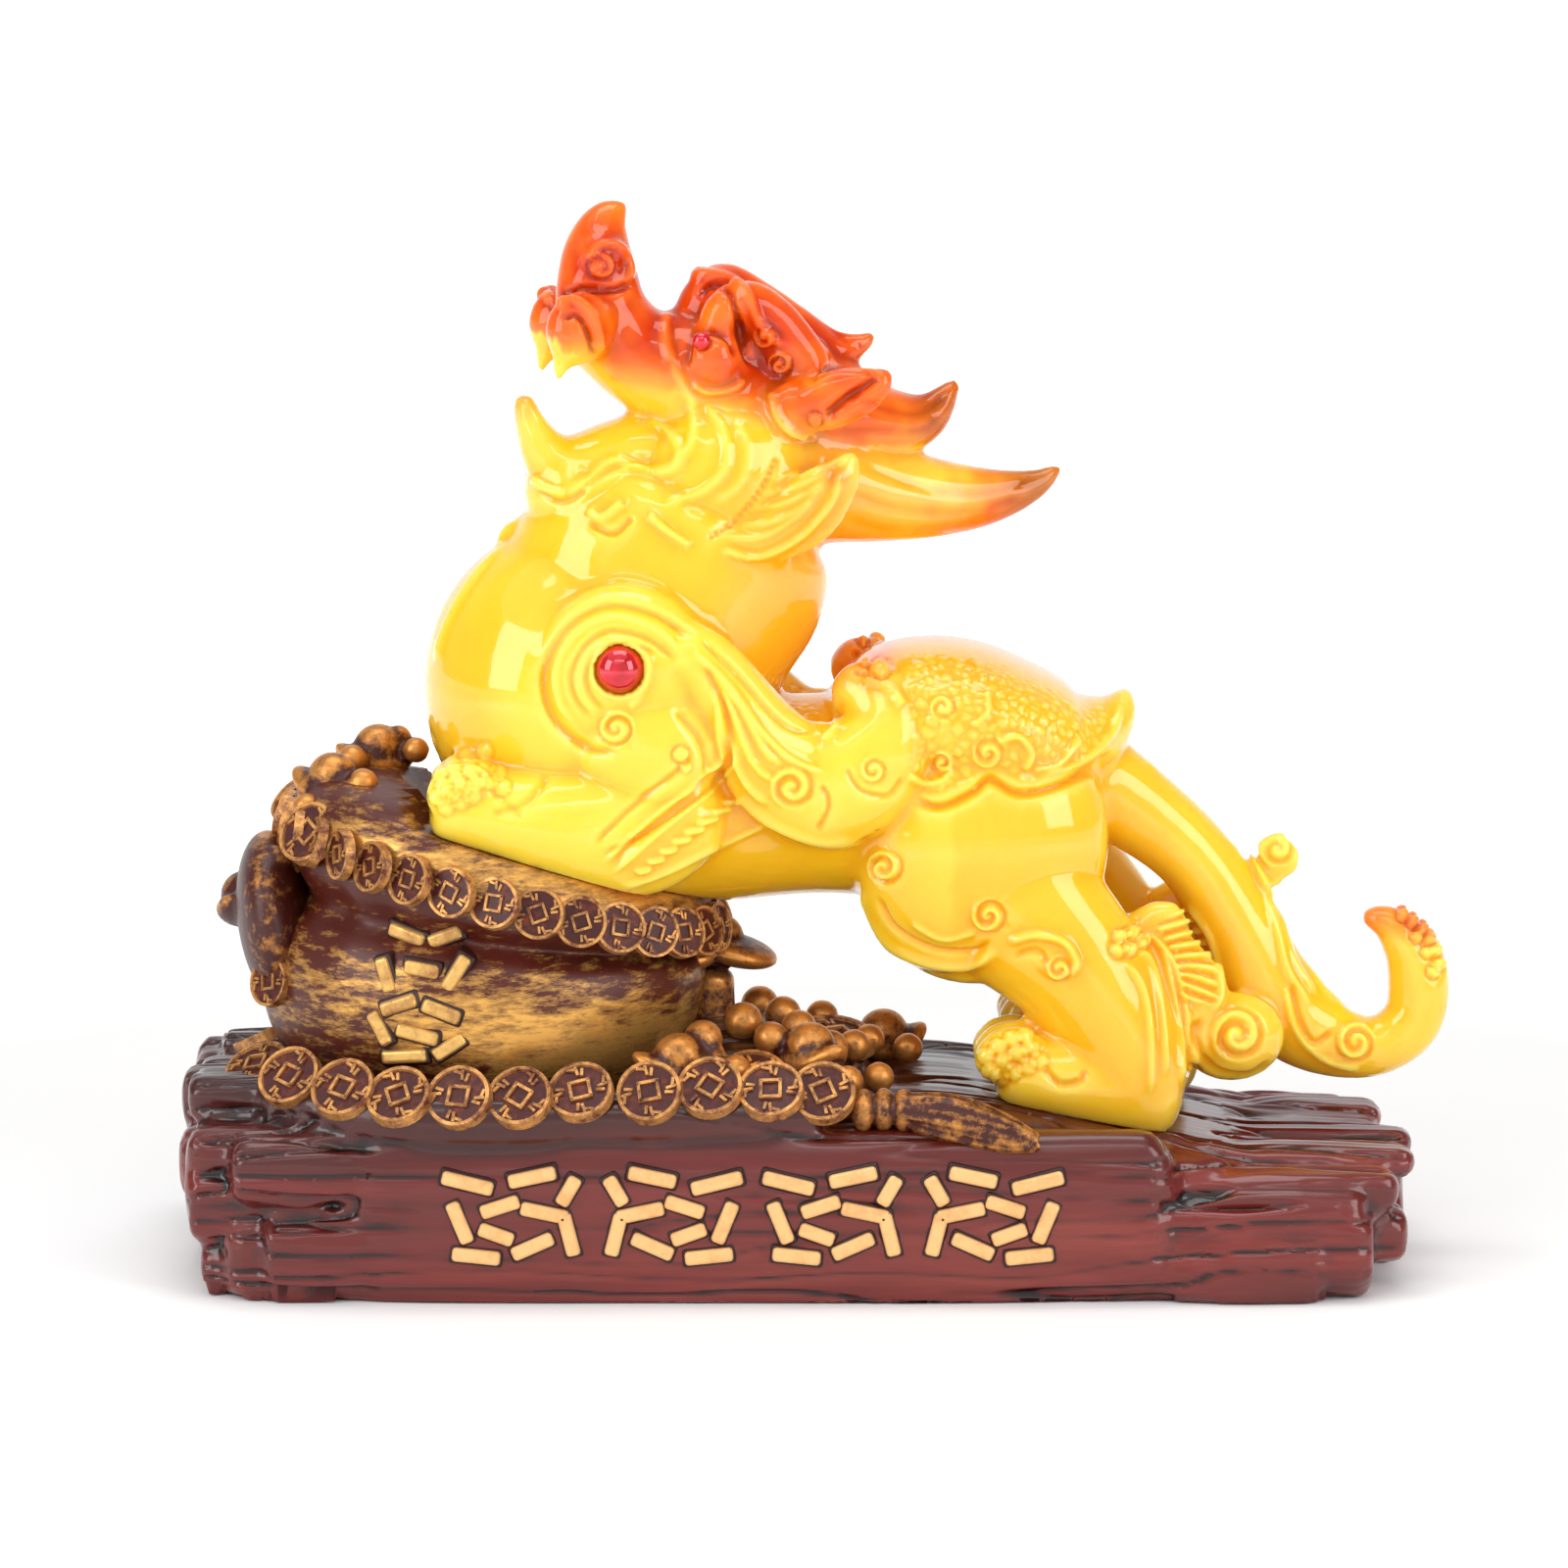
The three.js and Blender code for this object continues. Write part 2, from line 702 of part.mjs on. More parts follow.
// The longer string along the front of the bowl's foot and round its left end,
// on the low mound that it lies over. A spot is [x, share of the half depth, level].
function footCoins() {
  const spots = [
    [-136, 0.12, 5],
    [-135, -0.38, 4],
    [-125, -0.7, 5],
    [-111, -0.86, 4],
    [-97, -0.93, 3],
    [-82, -0.95, 3],
    [-67, -0.95, 3],
    [-52, -0.92, 4],
    [-35, -0.93, 4],
    [-20, -0.91, 5],
    [-5, -0.9, 4],
    [8, -0.86, 3],
  ];
  const coins = spots.map(([x, across, up], i) => {
    const facing = [(0.3 * (x - bowlCentreX)) / half, across, 0.85 + 0.15 * Math.sin(i * 2.1)];
    return coin([x, deep * across, baseHeight + up], facing);
  });
  const mound = spots.map(([x, across]) => [
    x + 1,
    deep * (across + 0.06),
    baseHeight - 1,
    8,
    8,
  ]);
  return [...coins, limb(mound, { sides: 6, rings: 9, blunt: 0.05 })];
}

// A boat-shaped ingot with its round crown.
function ingot([x, y, z], turn) {
  const hull = new THREE.SphereGeometry(1, 7, 4).rotateX(Math.PI / 2).scale(12, 7, 4.5);
  const spots = hull.attributes.position;
  const upturn = 0.035;
  for (let i = 0; i < spots.count; i++) {
    spots.setZ(i, spots.getZ(i) + upturn * spots.getX(i) ** 2);
  }
  const crown = new THREE.SphereGeometry(6.5, 6, 3).translate(0, 0, 4);
  return [hull, crown].map((geometry) =>
    toSolid(geometry.rotateZ(radians(turn)).translate(x, y, z)),
  );
}

// What is heaped in the bowl's mouth, at its left shoulder and beside its foot. Across the
// bowl, a place is a share of its radius from its axis. Beside it, y is measured inwards
// from the string of coins that the heap lies against.
function treasure() {
  const mouth = baseHeight + bowlHeight;
  const ground = baseHeight;
  const onRim = (x, y, z) => [bowlCentreX + bowlRadius * x, bowlRadius * y, z];
  const string = deep * -0.92;
  const beside = (x, inward, z) => [x, string + inward, z];
  return [
    ...ingot(onRim(-0.474, 0.21, mouth + 13), 30),
    ...ingot(onRim(-0.649, -0.175, mouth + 9), -30),
    ...ingot(onRim(-1.07, 0.07, ground + 41), 80),
    ...ingot(beside(-28, 11.1, ground + 8.5), 15),
    ...ingot(beside(5, 22.1, ground + 9), -50),
    ...ingot([24, deep * 0.23, ground + 3], 20),
    coin(onRim(-0.825, 0.14, mouth + 4), [-1, -0.8, 1.4]),
    coin(onRim(-0.737, -0.456, mouth + 1), [-1, -1.4, 1]),
    coin(beside(-9, 15.1, ground + 7), [0.2, -1.2, 2]),
    coin(beside(12, 48.1, ground + 10), [0.3, -0.5, 2], 10),
    // Folds of cloth at the bowl's left shoulder, and the heap beside its foot.
    mass(onRim(-0.912, -0.07, ground + 40), [10, 24, 23], { tip: -8, sides: 8, rings: 5 }),
    mass([-13, deep * -0.066, ground + 2], [33, deep * 0.689, 13], { sides: 9, rings: 5 }),
    mass(beside(-8, 40.1, ground + 9), [7, 7, 7], { sides: 6, rings: 4 }),
    // The small fungus-capped stalk behind the bowl.
    limb(
      [
        [-20, 2, ground, 9, 9],
        [-21, 2, ground + 14, 7, 7],
        [-20, 2, ground + 27, 5.5, 6],
      ],
      { sides: 6, rings: 5 },
    ),
    mass([-15, 2.3, ground + 31], [12, 12, 4], { tip: 14, sides: 7, rings: 4 }),
    mass([-17, 1.6, ground + 34], [5, 5, 6], { sides: 6, rings: 4 }),
    // The tassel at the end of the lower string.
    mass(beside(23, 4.1, ground - 1), [6, 6, 5.5], { sides: 6, rings: 4 }),
    limb(
      [
        [...beside(26, 4.1, ground - 1), 4, 5],
        [...beside(40, 3.1, ground - 4), 6, 6.5],
        [...beside(56, 1.1, ground - 8), 3, 4],
      ],
      { sides: 6, rings: 5, blunt: 0.1 },
    ),
  ];
}

// Plain gilt strokes: four groups along the front, and a fifth on the bowl.
// A stroke is [across, up, length, turn] in millimetres and degrees.
const frontGroup = [
  [-8, 7, 11, 14],
  [6, 8, 13, -10],
  [-9, -2, 10, 70],
  [2, -1, 11, -20],
  [11, -4, 12, 80],
  [-3, -10, 14, 8],
];
const bowlGroup = [
  [-7, 9, 12, 10],
  [6, 8, 10, -30],
  [-8, -3, 11, 75],
  [4, -2, 12, 15],
  [-1, -11, 16, -8],
];

function strokeGroup(strokes, [x, y, z], sink, flip) {
  return strokes.map(([dx, dz, long, turn]) => {
    const geometry = new THREE.BoxGeometry(long, sink * 2, strokeWidth);
    geometry.rotateY(radians(turn * flip));
    return toSolid(geometry.translate(x + dx * flip, y + sink - strokeRelief, z + dz));
  });
}

function strokes() {
  const groups = 4;
  const pitch = 39.7;
  const middle = -9.5;
  const solids = [];
  for (let i = 0; i < groups; i++) {
    const x = middle + pitch * (i - (groups - 1) / 2);
    const flip = i % 2 ? -1 : 1;
    solids.push(...strokeGroup(frontGroup, [x, -deep, baseHeight * 0.49], 4, flip));
  }
  const [x, y, z] = onBowl(radians(257), 1, 0.46);
  solids.push(...strokeGroup(bowlGroup, [x, y, z], 5, 1));
  return solids;
}

async function treasureBase() {
  const floor = new THREE.BoxGeometry(baseLength * 2, baseDepth * 3, 100).translate(0, 0, -50);
  const room = 60;
  const seatHalf = 47.5 * scale;
  const cleared = (level) => (x) => level(x) - seatClearance;
  const whole = join([
    ...logs(),
    bowl(),
    ...collarCoins(),
    ...footCoins(),
    ...treasure(),
    ...strokes(),
  ]);
  return (await thin(whole, baseFaces, { creases: true }))
    .subtract(seatBlock(cleared(foreLevel), seatFrom, hindFrom, seatHalf, room))
    .subtract(seatBlock(cleared(hindLevel), hindFrom, hindTo, seatHalf, room))
    .subtract(toSolid(floor));
}

const amber = new THREE.MeshStandardMaterial({ color: 0xf7c62c, roughness: 0.12 });
const wood = new THREE.MeshStandardMaterial({ color: 0x3c1512, roughness: 0.35 });
const ruby = new THREE.MeshStandardMaterial({ color: 0xc8102a, roughness: 0.06 });

const group = new THREE.Group();
function add(name, solid, material) {
  const mesh = new THREE.Mesh(toGeometry(solid), material);
  mesh.geometry.computeVertexNormals();
  mesh.name = name;
  group.add(mesh);
}

let pixiu = await figure();
for (const { name, centre, radius } of stones()) {
  pixiu = pixiu.subtract(stone(centre, radius + seatClearance));
  add(name, stone(centre, radius), ruby);
}
add("pixiu", pixiu, amber);
add("treasure_base", await treasureBase(), wood);

export default group;
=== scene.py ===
# %% [markdown]
# # An amber pixiu on a dark treasure base
#
# The real ornament is cast in resin in two pours: a milky amber beast, and a dark base that
# carries a brushed gold bowl with strings of coins. Four red glass stones are set into it.
# The CAD model gives every size and seat. This lesson dresses it: smooth carved forms, then
# relief, then finishes.

# %% Load the frame and keep its box
import math

import bmesh
import bpy
import numpy as np
from mathutils import Euler, Matrix, Vector, noise


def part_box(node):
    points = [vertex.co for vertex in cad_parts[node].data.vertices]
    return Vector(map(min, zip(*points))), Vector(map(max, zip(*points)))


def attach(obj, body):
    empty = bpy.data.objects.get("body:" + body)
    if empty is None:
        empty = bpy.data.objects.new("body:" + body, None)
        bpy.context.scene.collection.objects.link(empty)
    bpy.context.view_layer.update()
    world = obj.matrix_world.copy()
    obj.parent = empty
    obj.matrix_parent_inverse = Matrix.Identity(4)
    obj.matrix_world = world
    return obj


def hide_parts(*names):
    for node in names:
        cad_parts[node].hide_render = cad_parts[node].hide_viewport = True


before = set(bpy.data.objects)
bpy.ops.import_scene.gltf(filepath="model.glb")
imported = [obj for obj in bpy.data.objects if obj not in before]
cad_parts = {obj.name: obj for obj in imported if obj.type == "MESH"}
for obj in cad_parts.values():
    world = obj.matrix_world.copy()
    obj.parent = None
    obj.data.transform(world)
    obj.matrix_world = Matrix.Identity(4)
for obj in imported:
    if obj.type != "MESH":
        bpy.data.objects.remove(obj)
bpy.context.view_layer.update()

# %% [markdown]
# ## The sculptor's units
#
# The beast was worked out on a figure 223 units high, one unit to a millimetre, whose heel
# stands 50 units above zero. The frame says where that figure sits: its plume is the highest
# point of the CAD node, so one subtraction places every station below.

# %% Units and levels
MM = 0.001
plume_top = 273.2
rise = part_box("pixiu")[1][2] / MM - plume_top
base_height = 47.0
neck_x = -25.0
head_yaw = math.radians(12)
far_step = 8.0
print("the figure's units stand", round(rise, 2), "mm above the frame's")


def fore_level(x):
    """Height of the seat on the bowl's tilted rim, in figure units."""
    return 119 - math.tan(math.radians(17)) * (x + 92)


def hind_level(x):
    """Height of the seat on the falling logs, in figure units."""
    return 50.2 - 0.2 * (x - 46)


# %% [markdown]
# ## Two strokes of clay
#
# A sculptor builds a beast from rolls and balls of clay. A roll is a sphere drawn out along a
# smooth line, with its own height and width at each station; a ball is a scaled sphere. Both
# start as Blender's sphere operator, so they are closed, and only their points move.

# %% Rolls and balls


def smooth_line(stations, shares):
    """Points of a smooth line through stations, at shares of the way along them."""
    stations = np.asarray(stations, float)
    last = len(stations) - 1
    spot = np.clip(np.asarray(shares, float) * last, 0, last)
    index = np.minimum(spot.astype(int), last - 1)
    t = (spot - index)[:, None]
    ends = 2 * stations[0] - stations[1], 2 * stations[-1] - stations[-2]
    padded = np.vstack([ends[0], stations, ends[1]])
    a, b, c, d = (padded[index + k] for k in range(4))
    return 0.5 * (2 * b + (c - a) * t + (2 * a - 5 * b + 4 * c - d) * t**2 + (3 * (b - c) + d - a) * t**3)


def squared(value, squareness):
    """Squares off a sine or cosine: 2 is round, 5 is almost a box."""
    return np.sign(value) * np.abs(value) ** (2 / squareness)


def yawed(points, yaw):
    """Turns points about the upright line through the neck."""
    if yaw:
        x, y = points[:, 0] - neck_x, points[:, 1].copy()
        points[:, 0] = neck_x + x * math.cos(yaw) - y * math.sin(yaw)
        points[:, 1] = x * math.sin(yaw) + y * math.cos(yaw)
    return points


def sphere(sides, rings):
    """A new lump of clay: a round sphere of radius 1, and its points."""
    lump = bmesh.new()
    bmesh.ops.create_uvsphere(lump, u_segments=sides, v_segments=rings, radius=1)
    return lump, np.array([vert.co for vert in lump.verts])


def add_lump(clay, lump, shape=None):
    """Turns a lump's faces outwards, puts it in its place and joins it to the clay."""
    if shape is not None:
        bmesh.ops.transform(lump, matrix=shape, verts=lump.verts)
    bmesh.ops.recalc_face_normals(lump, faces=lump.faces)
    mesh = bpy.data.meshes.new("lump")
    lump.to_mesh(mesh)
    clay.from_mesh(mesh)
    bpy.data.meshes.remove(mesh)
    lump.free()


def place_points(lump, points):
    """Moves a lump's points."""
    for vert, point in zip(lump.verts, points):
        vert.co = point


def roll(clay, stations, blunt=0.12, squareness=2.0, sides=32, rings=56, yaw=0.0):
    """A roll of clay. A station is x, y, z, half height and half width."""
    lump, unit = sphere(sides, rings)
    along = np.arccos(np.clip(unit[:, 2], -1, 1)) / math.pi
    around = np.arctan2(unit[:, 1], unit[:, 0])
    end_rows = 0.2
    to_end = np.minimum(along, 1 - along)
    turn = np.minimum(to_end / end_rows, 1) * math.pi / 2
    share = np.where(
        to_end < end_rows,
        blunt * (1 - np.cos(turn)),
        blunt + (1 - 2 * blunt) * (to_end - end_rows) / (1 - 2 * end_rows),
    )
    share = np.where(along < 0.5, share, 1 - share)
    fullness = np.sin(turn)
    stations = np.array(stations, float)
    line = smooth_line(stations[:, :3], share)
    sizes = smooth_line(stations[:, 3:], share)
    tangent = smooth_line(stations[:, :3], share + 0.01) - smooth_line(stations[:, :3], share - 0.01)
    tangent /= np.linalg.norm(tangent, axis=1)[:, None]
    across = np.array([0, 1, 0]) - tangent * tangent[:, 1:2]
    across /= np.linalg.norm(across, axis=1)[:, None]
    up = np.cross(tangent, across)
    wide = squared(np.cos(around), squareness) * sizes[:, 1] * fullness
    high = squared(np.sin(around), squareness) * sizes[:, 0] * fullness
    points = line + across * wide[:, None] + up * high[:, None]
    place_points(lump, yawed(points, yaw))
    add_lump(clay, lump)


def ball(clay, centre, halves, tip=0.0, sides=32, rings=20, yaw=0.0):
    """A ball of clay with its three half sizes, tipped in the upright plane."""
    lump, unit = sphere(sides, rings)
    tipped = Euler((0, math.radians(tip), 0)).to_matrix() @ Matrix.Diagonal(halves)
    points = unit @ np.array(tipped).T + centre
    place_points(lump, yawed(points, yaw))
    add_lump(clay, lump)


SIDES = (-1, 1)


def on_side(side, stations, step=0):
    """Stations of the left flank set on a side. The right legs stand a step further back."""
    back = step if side > 0 else 0
    return [(x + back, side * y, *rest) for x, y, *rest in stations]


# %% [markdown]
# ## The beast's masses
#
# These are the same rolls and balls as in the solid, drawn much finer: trunk and neck, saddle,
# a wing and four legs on each side, the tail, and a head that is made straight and then turned.

# %% Trunk, saddle and wings


def model_trunk(clay):
    ball(clay, (-55, 0, 149.5), (38.5, 40, 42), sides=48, rings=36)
    back = [
        (-70, 0, 128, 20, 26), (-45, 0, 124, 31, 35), (-18, 0, 122, 27.5, 33), (8, 0, 122, 25.5, 29),
        (34, 0, 123, 29, 30), (60, 0, 122, 30, 31), (84, 0, 124, 17, 20),
    ]
    roll(clay, back, blunt=0.16, sides=48)
    neck = [(-48, 0, 146, 37, 34), (-37, 0, 168, 39, 33), (-27, 0, 186, 39.5, 29), (-18, 0, 204, 31, 25)]
    roll(clay, neck, blunt=0.2, sides=48)
    # The knob where the chest's crest begins.
    roll(clay, [(-60, 0, 190, 2.5, 3.5), (-70, 0, 189, 3, 3), (-72, 0, 185, 3, 3)], blunt=0.2)
    saddle = [
        (13, 0, 146, 7, 20), (24, 0, 146, 14.5, 31), (41, 0, 144, 17.5, 36), (58, 0, 139.5, 16, 35),
        (73, 0, 137.5, 11.5, 25), (82, 0, 142, 6.5, 12), (86, 0, 149, 1.5, 4),
    ]
    roll(clay, saddle, blunt=0.06, squareness=2.4, sides=48)


def model_wing(clay, side):
    ball(clay, (-42, side * 33, 158.5), (21.5, 12, 21.5), sides=40, rings=30)
    strap = [
        (-34, 34, 166, 9, 9), (-20, 34, 158, 9, 9), (-8, 32, 141, 11.5, 9.5), (4, 30, 129.5, 15, 10),
        (17, 30, 132.5, 15.5, 9.5), (23.5, 28, 143, 11.5, 9), (19, 24, 150.5, 9, 8),
        (10.5, 21, 153, 5, 6),
    ]
    roll(clay, on_side(side, strap), blunt=0.07, rings=80)


# %% [markdown]
# ## Legs and tail
#
# Each leg is drawn once, for the left side, and set on both. The tail is one long roll that
# swings down, up and over, so its tip is free, with a small curl of hair on its back.

# %% Legs and tail


def model_toes(clay, side, across, row):
    """Three knuckles across a paw. A row is x, z and half height from the wrist to the claw."""
    spread = 8
    for toe in (-1, 0, 1):
        stations = [(x, across + spread * toe, z, high, 4.4) for x, z, high in row]
        roll(clay, on_side(side, stations, far_step), blunt=0.3, sides=24, rings=32)


def model_foreleg(clay, side):
    upper = [(-46, 32, 150, 17, 12), (-34, 33, 138, 17, 12), (-22, 33, 127, 11, 10)]
    roll(clay, on_side(side, upper, far_step), blunt=0.24)
    lower = [
        (-18, 32, 126, 9, 9), (-36, 34, 118, 16, 11), (-56, 34, 118, 15, 12),
        (-76, 34, 122, 11.5, 12), (-90, 34, 125, 9, 11.5),
    ]
    roll(clay, on_side(side, lower, far_step), blunt=0.1)
    model_toes(clay, side, 34, [(-74, 131, 5), (-83.5, 130.5, 5.4), (-88, 123, 4.8)])


def model_hindleg(clay, side):
    back = far_step if side > 0 else 0
    ball(clay, (48, side * 19, 111), (32, 19, 35), tip=14, sides=44, rings=32)
    shank = [
        (46, 20, 108, 20, 15), (58, 22, 96, 21, 16), (73.5, 24, 80, 17.5, 14.5),
        (84, 25, 61, 15, 13), (89, 25, 44, 13.5, 12),
    ]
    roll(clay, on_side(side, shank, far_step), sides=36)
    foot = [
        (51, 26, 55, 9, 11), (66, 26, 54, 12, 12.5), (84, 25, 50, 13, 12.5),
        (99, 24, 47, 10, 11),
    ]
    roll(clay, on_side(side, foot, far_step), blunt=0.14)
    model_toes(clay, side, 26, [(63, 63.5, 5), (53, 62, 5.4), (48.5, 55, 4.8)])
    # The fringe of hair behind the hock, and the curl it ends in.
    fringe = [
        (97, 18, 97, 3, 3), (93, 18, 88, 11, 5), (93, 19, 76, 17, 7),
        (98, 19, 63, 15, 8), (103, 18, 56, 8, 7),
    ]
    roll(clay, on_side(side, fringe, far_step), blunt=0.08)
    ball(clay, (112 + back, side * 16, 62), (13.5, 9, 11.5))


def model_tail(clay):
    tail = [
        (70, 0, 130, 14, 14), (87, 0, 119, 11.5, 11.5), (103, 0, 105.5, 10, 10.5), (114, 0, 88, 11, 10.5),
        (122, 0, 71, 12.5, 10.5), (134, 0, 60, 10.5, 9.5), (149, 0, 56, 7.8, 8.5), (159.5, 0, 63, 7.7, 8),
        (160.5, 0, 77, 7.7, 7.5), (154, 0, 87.5, 5, 6), (146, 0, 90.5, 2, 3),
    ]
    roll(clay, tail, blunt=0.03, rings=120)
    roll(clay, [(107, 0, 96, 5, 4), (117, 0, 98.5, 4.4, 3.6), (124, 0, 103, 3.6, 3.2)], blunt=0.1)
    ball(clay, (124.5, 0, 105.5), (5.4, 3.4, 5.4))


# %% [markdown]
# ## The head
#
# The beast's face follows the photo: an open mouth, a curled plume on the nose, rolled locks
# over the eyes and two swept horns of mane. It is made looking straight ahead, and each
# stroke is then turned about the neck.

# %% Head


def model_head(clay):
    yaw = head_yaw
    ball(clay, (-15, 0, 216), (22, 21, 22), yaw=yaw)
    snout = [
        (-14, 0, 224, 22, 20), (-28, 0, 229.5, 16, 17), (-40, 0, 235, 12.5, 14),
        (-47.5, 0, 243.5, 12, 12.5), (-49, 0, 254, 10.3, 10.5), (-48.6, 0, 262, 8.3, 8.5),
        (-46, 0, 268.5, 5.4, 5.5), (-41.5, 0, 272.3, 1.2, 2),
    ]
    roll(clay, snout, blunt=0.04, rings=80, yaw=yaw)
    jaw = [
        (-20, 0, 205, 17, 17), (-38, 0, 207, 12.5, 15), (-52, 0, 205.5, 10.3, 12.5),
        (-61, 0, 208.5, 7.2, 9), (-66, 0, 216.5, 4.2, 6), (-68.6, 0, 225, 2.4, 4),
    ]
    roll(clay, jaw, blunt=0.07, yaw=yaw)
    ball(clay, (-54.5, 0, 200), (13.5, 13.5, 12), yaw=yaw)
    crest = [
        (-22, 0, 236, 5.5, 6), (-23.5, 0, 245, 5.8, 6.5), (-17.5, 0, 250.5, 6.6, 6.5),
        (-8.5, 0, 246.5, 6.2, 6.5), (1, 0, 240.5, 5.8, 6), (10, 0, 235.5, 4.8, 5),
        (17.5, 0, 235.5, 3.2, 3.5), (23, 0, 239, 1, 1.2),
    ]
    roll(clay, crest, blunt=0.04, yaw=yaw)
    upper_horn = [
        (-8, 0, 224, 16, 18), (10, 0, 219, 14, 16), (24.5, 0, 215.5, 10, 11.5), (36, 0, 217.5, 6.2, 6.5),
        (44.2, 0, 226.5, 1.2, 1.5),
    ]
    roll(clay, upper_horn, blunt=0.05, yaw=yaw)
    lower_horn = [
        (-10, 0, 204, 22, 22), (8, 0, 201.5, 17, 18), (24, 0, 198, 13, 14), (38, 0, 196.3, 10.3, 10.5),
        (52, 0, 196.3, 7.4, 7.5), (64, 0, 199, 4.2, 4), (72, 0, 204, 1, 1.2),
    ]
    roll(clay, lower_horn, blunt=0.04, yaw=yaw)


def model_face(clay, side):
    yaw = head_yaw
    ball(clay, (-56, side * 12.5, 242), (8.5, 6.5, 9.5), tip=20, yaw=yaw)
    fang = [(-58.5, 12.5, 238, 3.6, 3.4), (-60.5, 12.5, 233.5, 2.6, 2.6), (-61.5, 12.5, 228.5, 0.8, 0.8)]
    roll(clay, on_side(side, fang), blunt=0.1, yaw=yaw)
    ball(clay, (-49.5, side * 6.5, 260), (6.2, 5, 6.2), yaw=yaw)
    ball(clay, (-17, side * 14, 204), (21, 13, 19), yaw=yaw)
    cheek_fin = [
        (-24, 24, 189, 3, 3), (-13, 26, 189, 6, 3), (-3, 27, 194, 8, 3), (3, 27, 200.5, 8, 3),
        (8, 27, 206, 5.5, 2.6), (11, 27, 212, 1, 1.2),
    ]
    roll(clay, on_side(side, cheek_fin), blunt=0.06, yaw=yaw)
    brow = [
        (-22.6, 13, 238, 4.5, 5), (-19.6, 13, 246, 5, 6), (-13.5, 13.5, 247.8, 5.8, 6),
        (-7, 14, 243, 6.4, 6), (-1, 15, 235.5, 6.5, 6), (5, 16, 229, 5, 5),
    ]
    roll(clay, on_side(side, brow), blunt=0.08, yaw=yaw)
    ball(clay, (-22.5, side * 15.5, 234.5), (7, 6.5, 7.5), yaw=yaw)
    ball(clay, (-3.5, side * 20, 221.5), (6.5, 5.5, 7), yaw=yaw)
    ear = [
        (-3, 21, 220, 5, 4), (4.5, 24, 223.5, 7.4, 4.5), (12, 25, 226, 6.8, 4),
        (17.5, 26, 228.5, 4.3, 3.2), (21, 26, 231.5, 1, 1.2),
    ]
    roll(clay, on_side(side, ear), blunt=0.08, yaw=yaw)
    ball(clay, (-1, side * 8, 231), (13, 9, 10), tip=30, yaw=yaw)


# %% [markdown]
# ## Joining the clay
#
# Overlapping rolls are turned into one skin by the voxel remesh, as a sculptor presses clay
# together. A coarse remesh and a light smoothing blend the joins; a finer one gives enough
# points for the carving.

# %% Pressing the clay together


def new_piece(name, clay):
    """A Blender object from a bmesh, at the origin."""
    mesh = bpy.data.meshes.new(name)
    clay.to_mesh(mesh)
    clay.free()
    piece = bpy.data.objects.new(name, mesh)
    bpy.context.scene.collection.objects.link(piece)
    return piece


def bake_modifiers(piece):
    """Turns a piece's modifiers into its mesh."""
    solid = piece.evaluated_get(bpy.context.evaluated_depsgraph_get())
    mesh = bpy.data.meshes.new_from_object(solid)
    old = piece.data
    piece.modifiers.clear()
    piece.data = mesh
    bpy.data.meshes.remove(old)


def press(piece, voxel, smoothing):
    """Remeshes a piece into one skin and smooths it a little."""
    remesh = piece.modifiers.new("skin", "REMESH")
    remesh.mode = "VOXEL"
    remesh.voxel_size = voxel * MM
    smooth = piece.modifiers.new("soften", "SMOOTH")
    smooth.factor = 0.5
    smooth.iterations = smoothing
    bake_modifiers(piece)


def thin_out(piece, triangles):
    """Thins a piece to a number of triangles, most where it is flattest."""
    piece.data.calc_loop_triangles()
    now = len(piece.data.loop_triangles)
    if now > triangles:
        thin = piece.modifiers.new("thin", "DECIMATE")
        thin.ratio = triangles / now
        bake_modifiers(piece)
    for face in piece.data.polygons:
        face.use_smooth = True
    piece.data.calc_loop_triangles()
    print(piece.name, len(piece.data.loop_triangles), "triangles")


def points_of(piece):
    """A piece's points as an array of metres."""
    points = np.empty(len(piece.data.vertices) * 3)
    piece.data.vertices.foreach_get("co", points)
    return points.reshape(-1, 3)


def normals_of(piece):
    normals = np.empty(len(piece.data.vertices) * 3)
    piece.data.vertices.foreach_get("normal", normals)
    return normals.reshape(-1, 3)


def move_points(piece, points):
    piece.data.vertices.foreach_set("co", points.ravel())
    piece.data.update()


def bulge(piece, rounds):
    """How far each point stands out of its neighbourhood, in millimetres."""
    start = points_of(piece) / MM
    ends = np.empty(len(piece.data.edges) * 2, int)
    piece.data.edges.foreach_get("vertices", ends)
    a, b = ends.reshape(-1, 2).T
    count = np.bincount(a, minlength=len(start)) + np.bincount(b, minlength=len(start))
    soft = start.copy()
    for _ in range(rounds):
        total = soft.copy()
        for axis in range(3):
            pull = np.bincount(a, soft[b, axis], len(start))
            pull += np.bincount(b, soft[a, axis], len(start))
            total[:, axis] += pull
        soft = total / (count + 1)[:, None]
    return np.sum((start - soft) * normals_of(piece), axis=1)


def add_mask(piece, name, values):
    """Keeps a number from 0 to 1 on each point, for a material to read."""
    mask = piece.data.attributes.new(name, "FLOAT", "POINT")
    mask.data.foreach_set("value", np.clip(values, 0, 1).astype(np.float32))


# %% The beast in clay
clay = bmesh.new()
model_trunk(clay)
model_tail(clay)
model_head(clay)
for side in SIDES:
    model_wing(clay, side)
    model_foreleg(clay, side)
    model_hindleg(clay, side)
    model_face(clay, side)
to_frame = Matrix.Translation((0, 0, rise * MM)) @ Matrix.Scale(MM, 4)
bmesh.ops.transform(clay, matrix=to_frame, verts=clay.verts)
beast = new_piece("pixiu_carved", clay)
press(beast, voxel=1.3, smoothing=5)
fine_voxel = 0.62
press(beast, voxel=fine_voxel, smoothing=2)
print("the beast has", len(beast.data.vertices), "points")

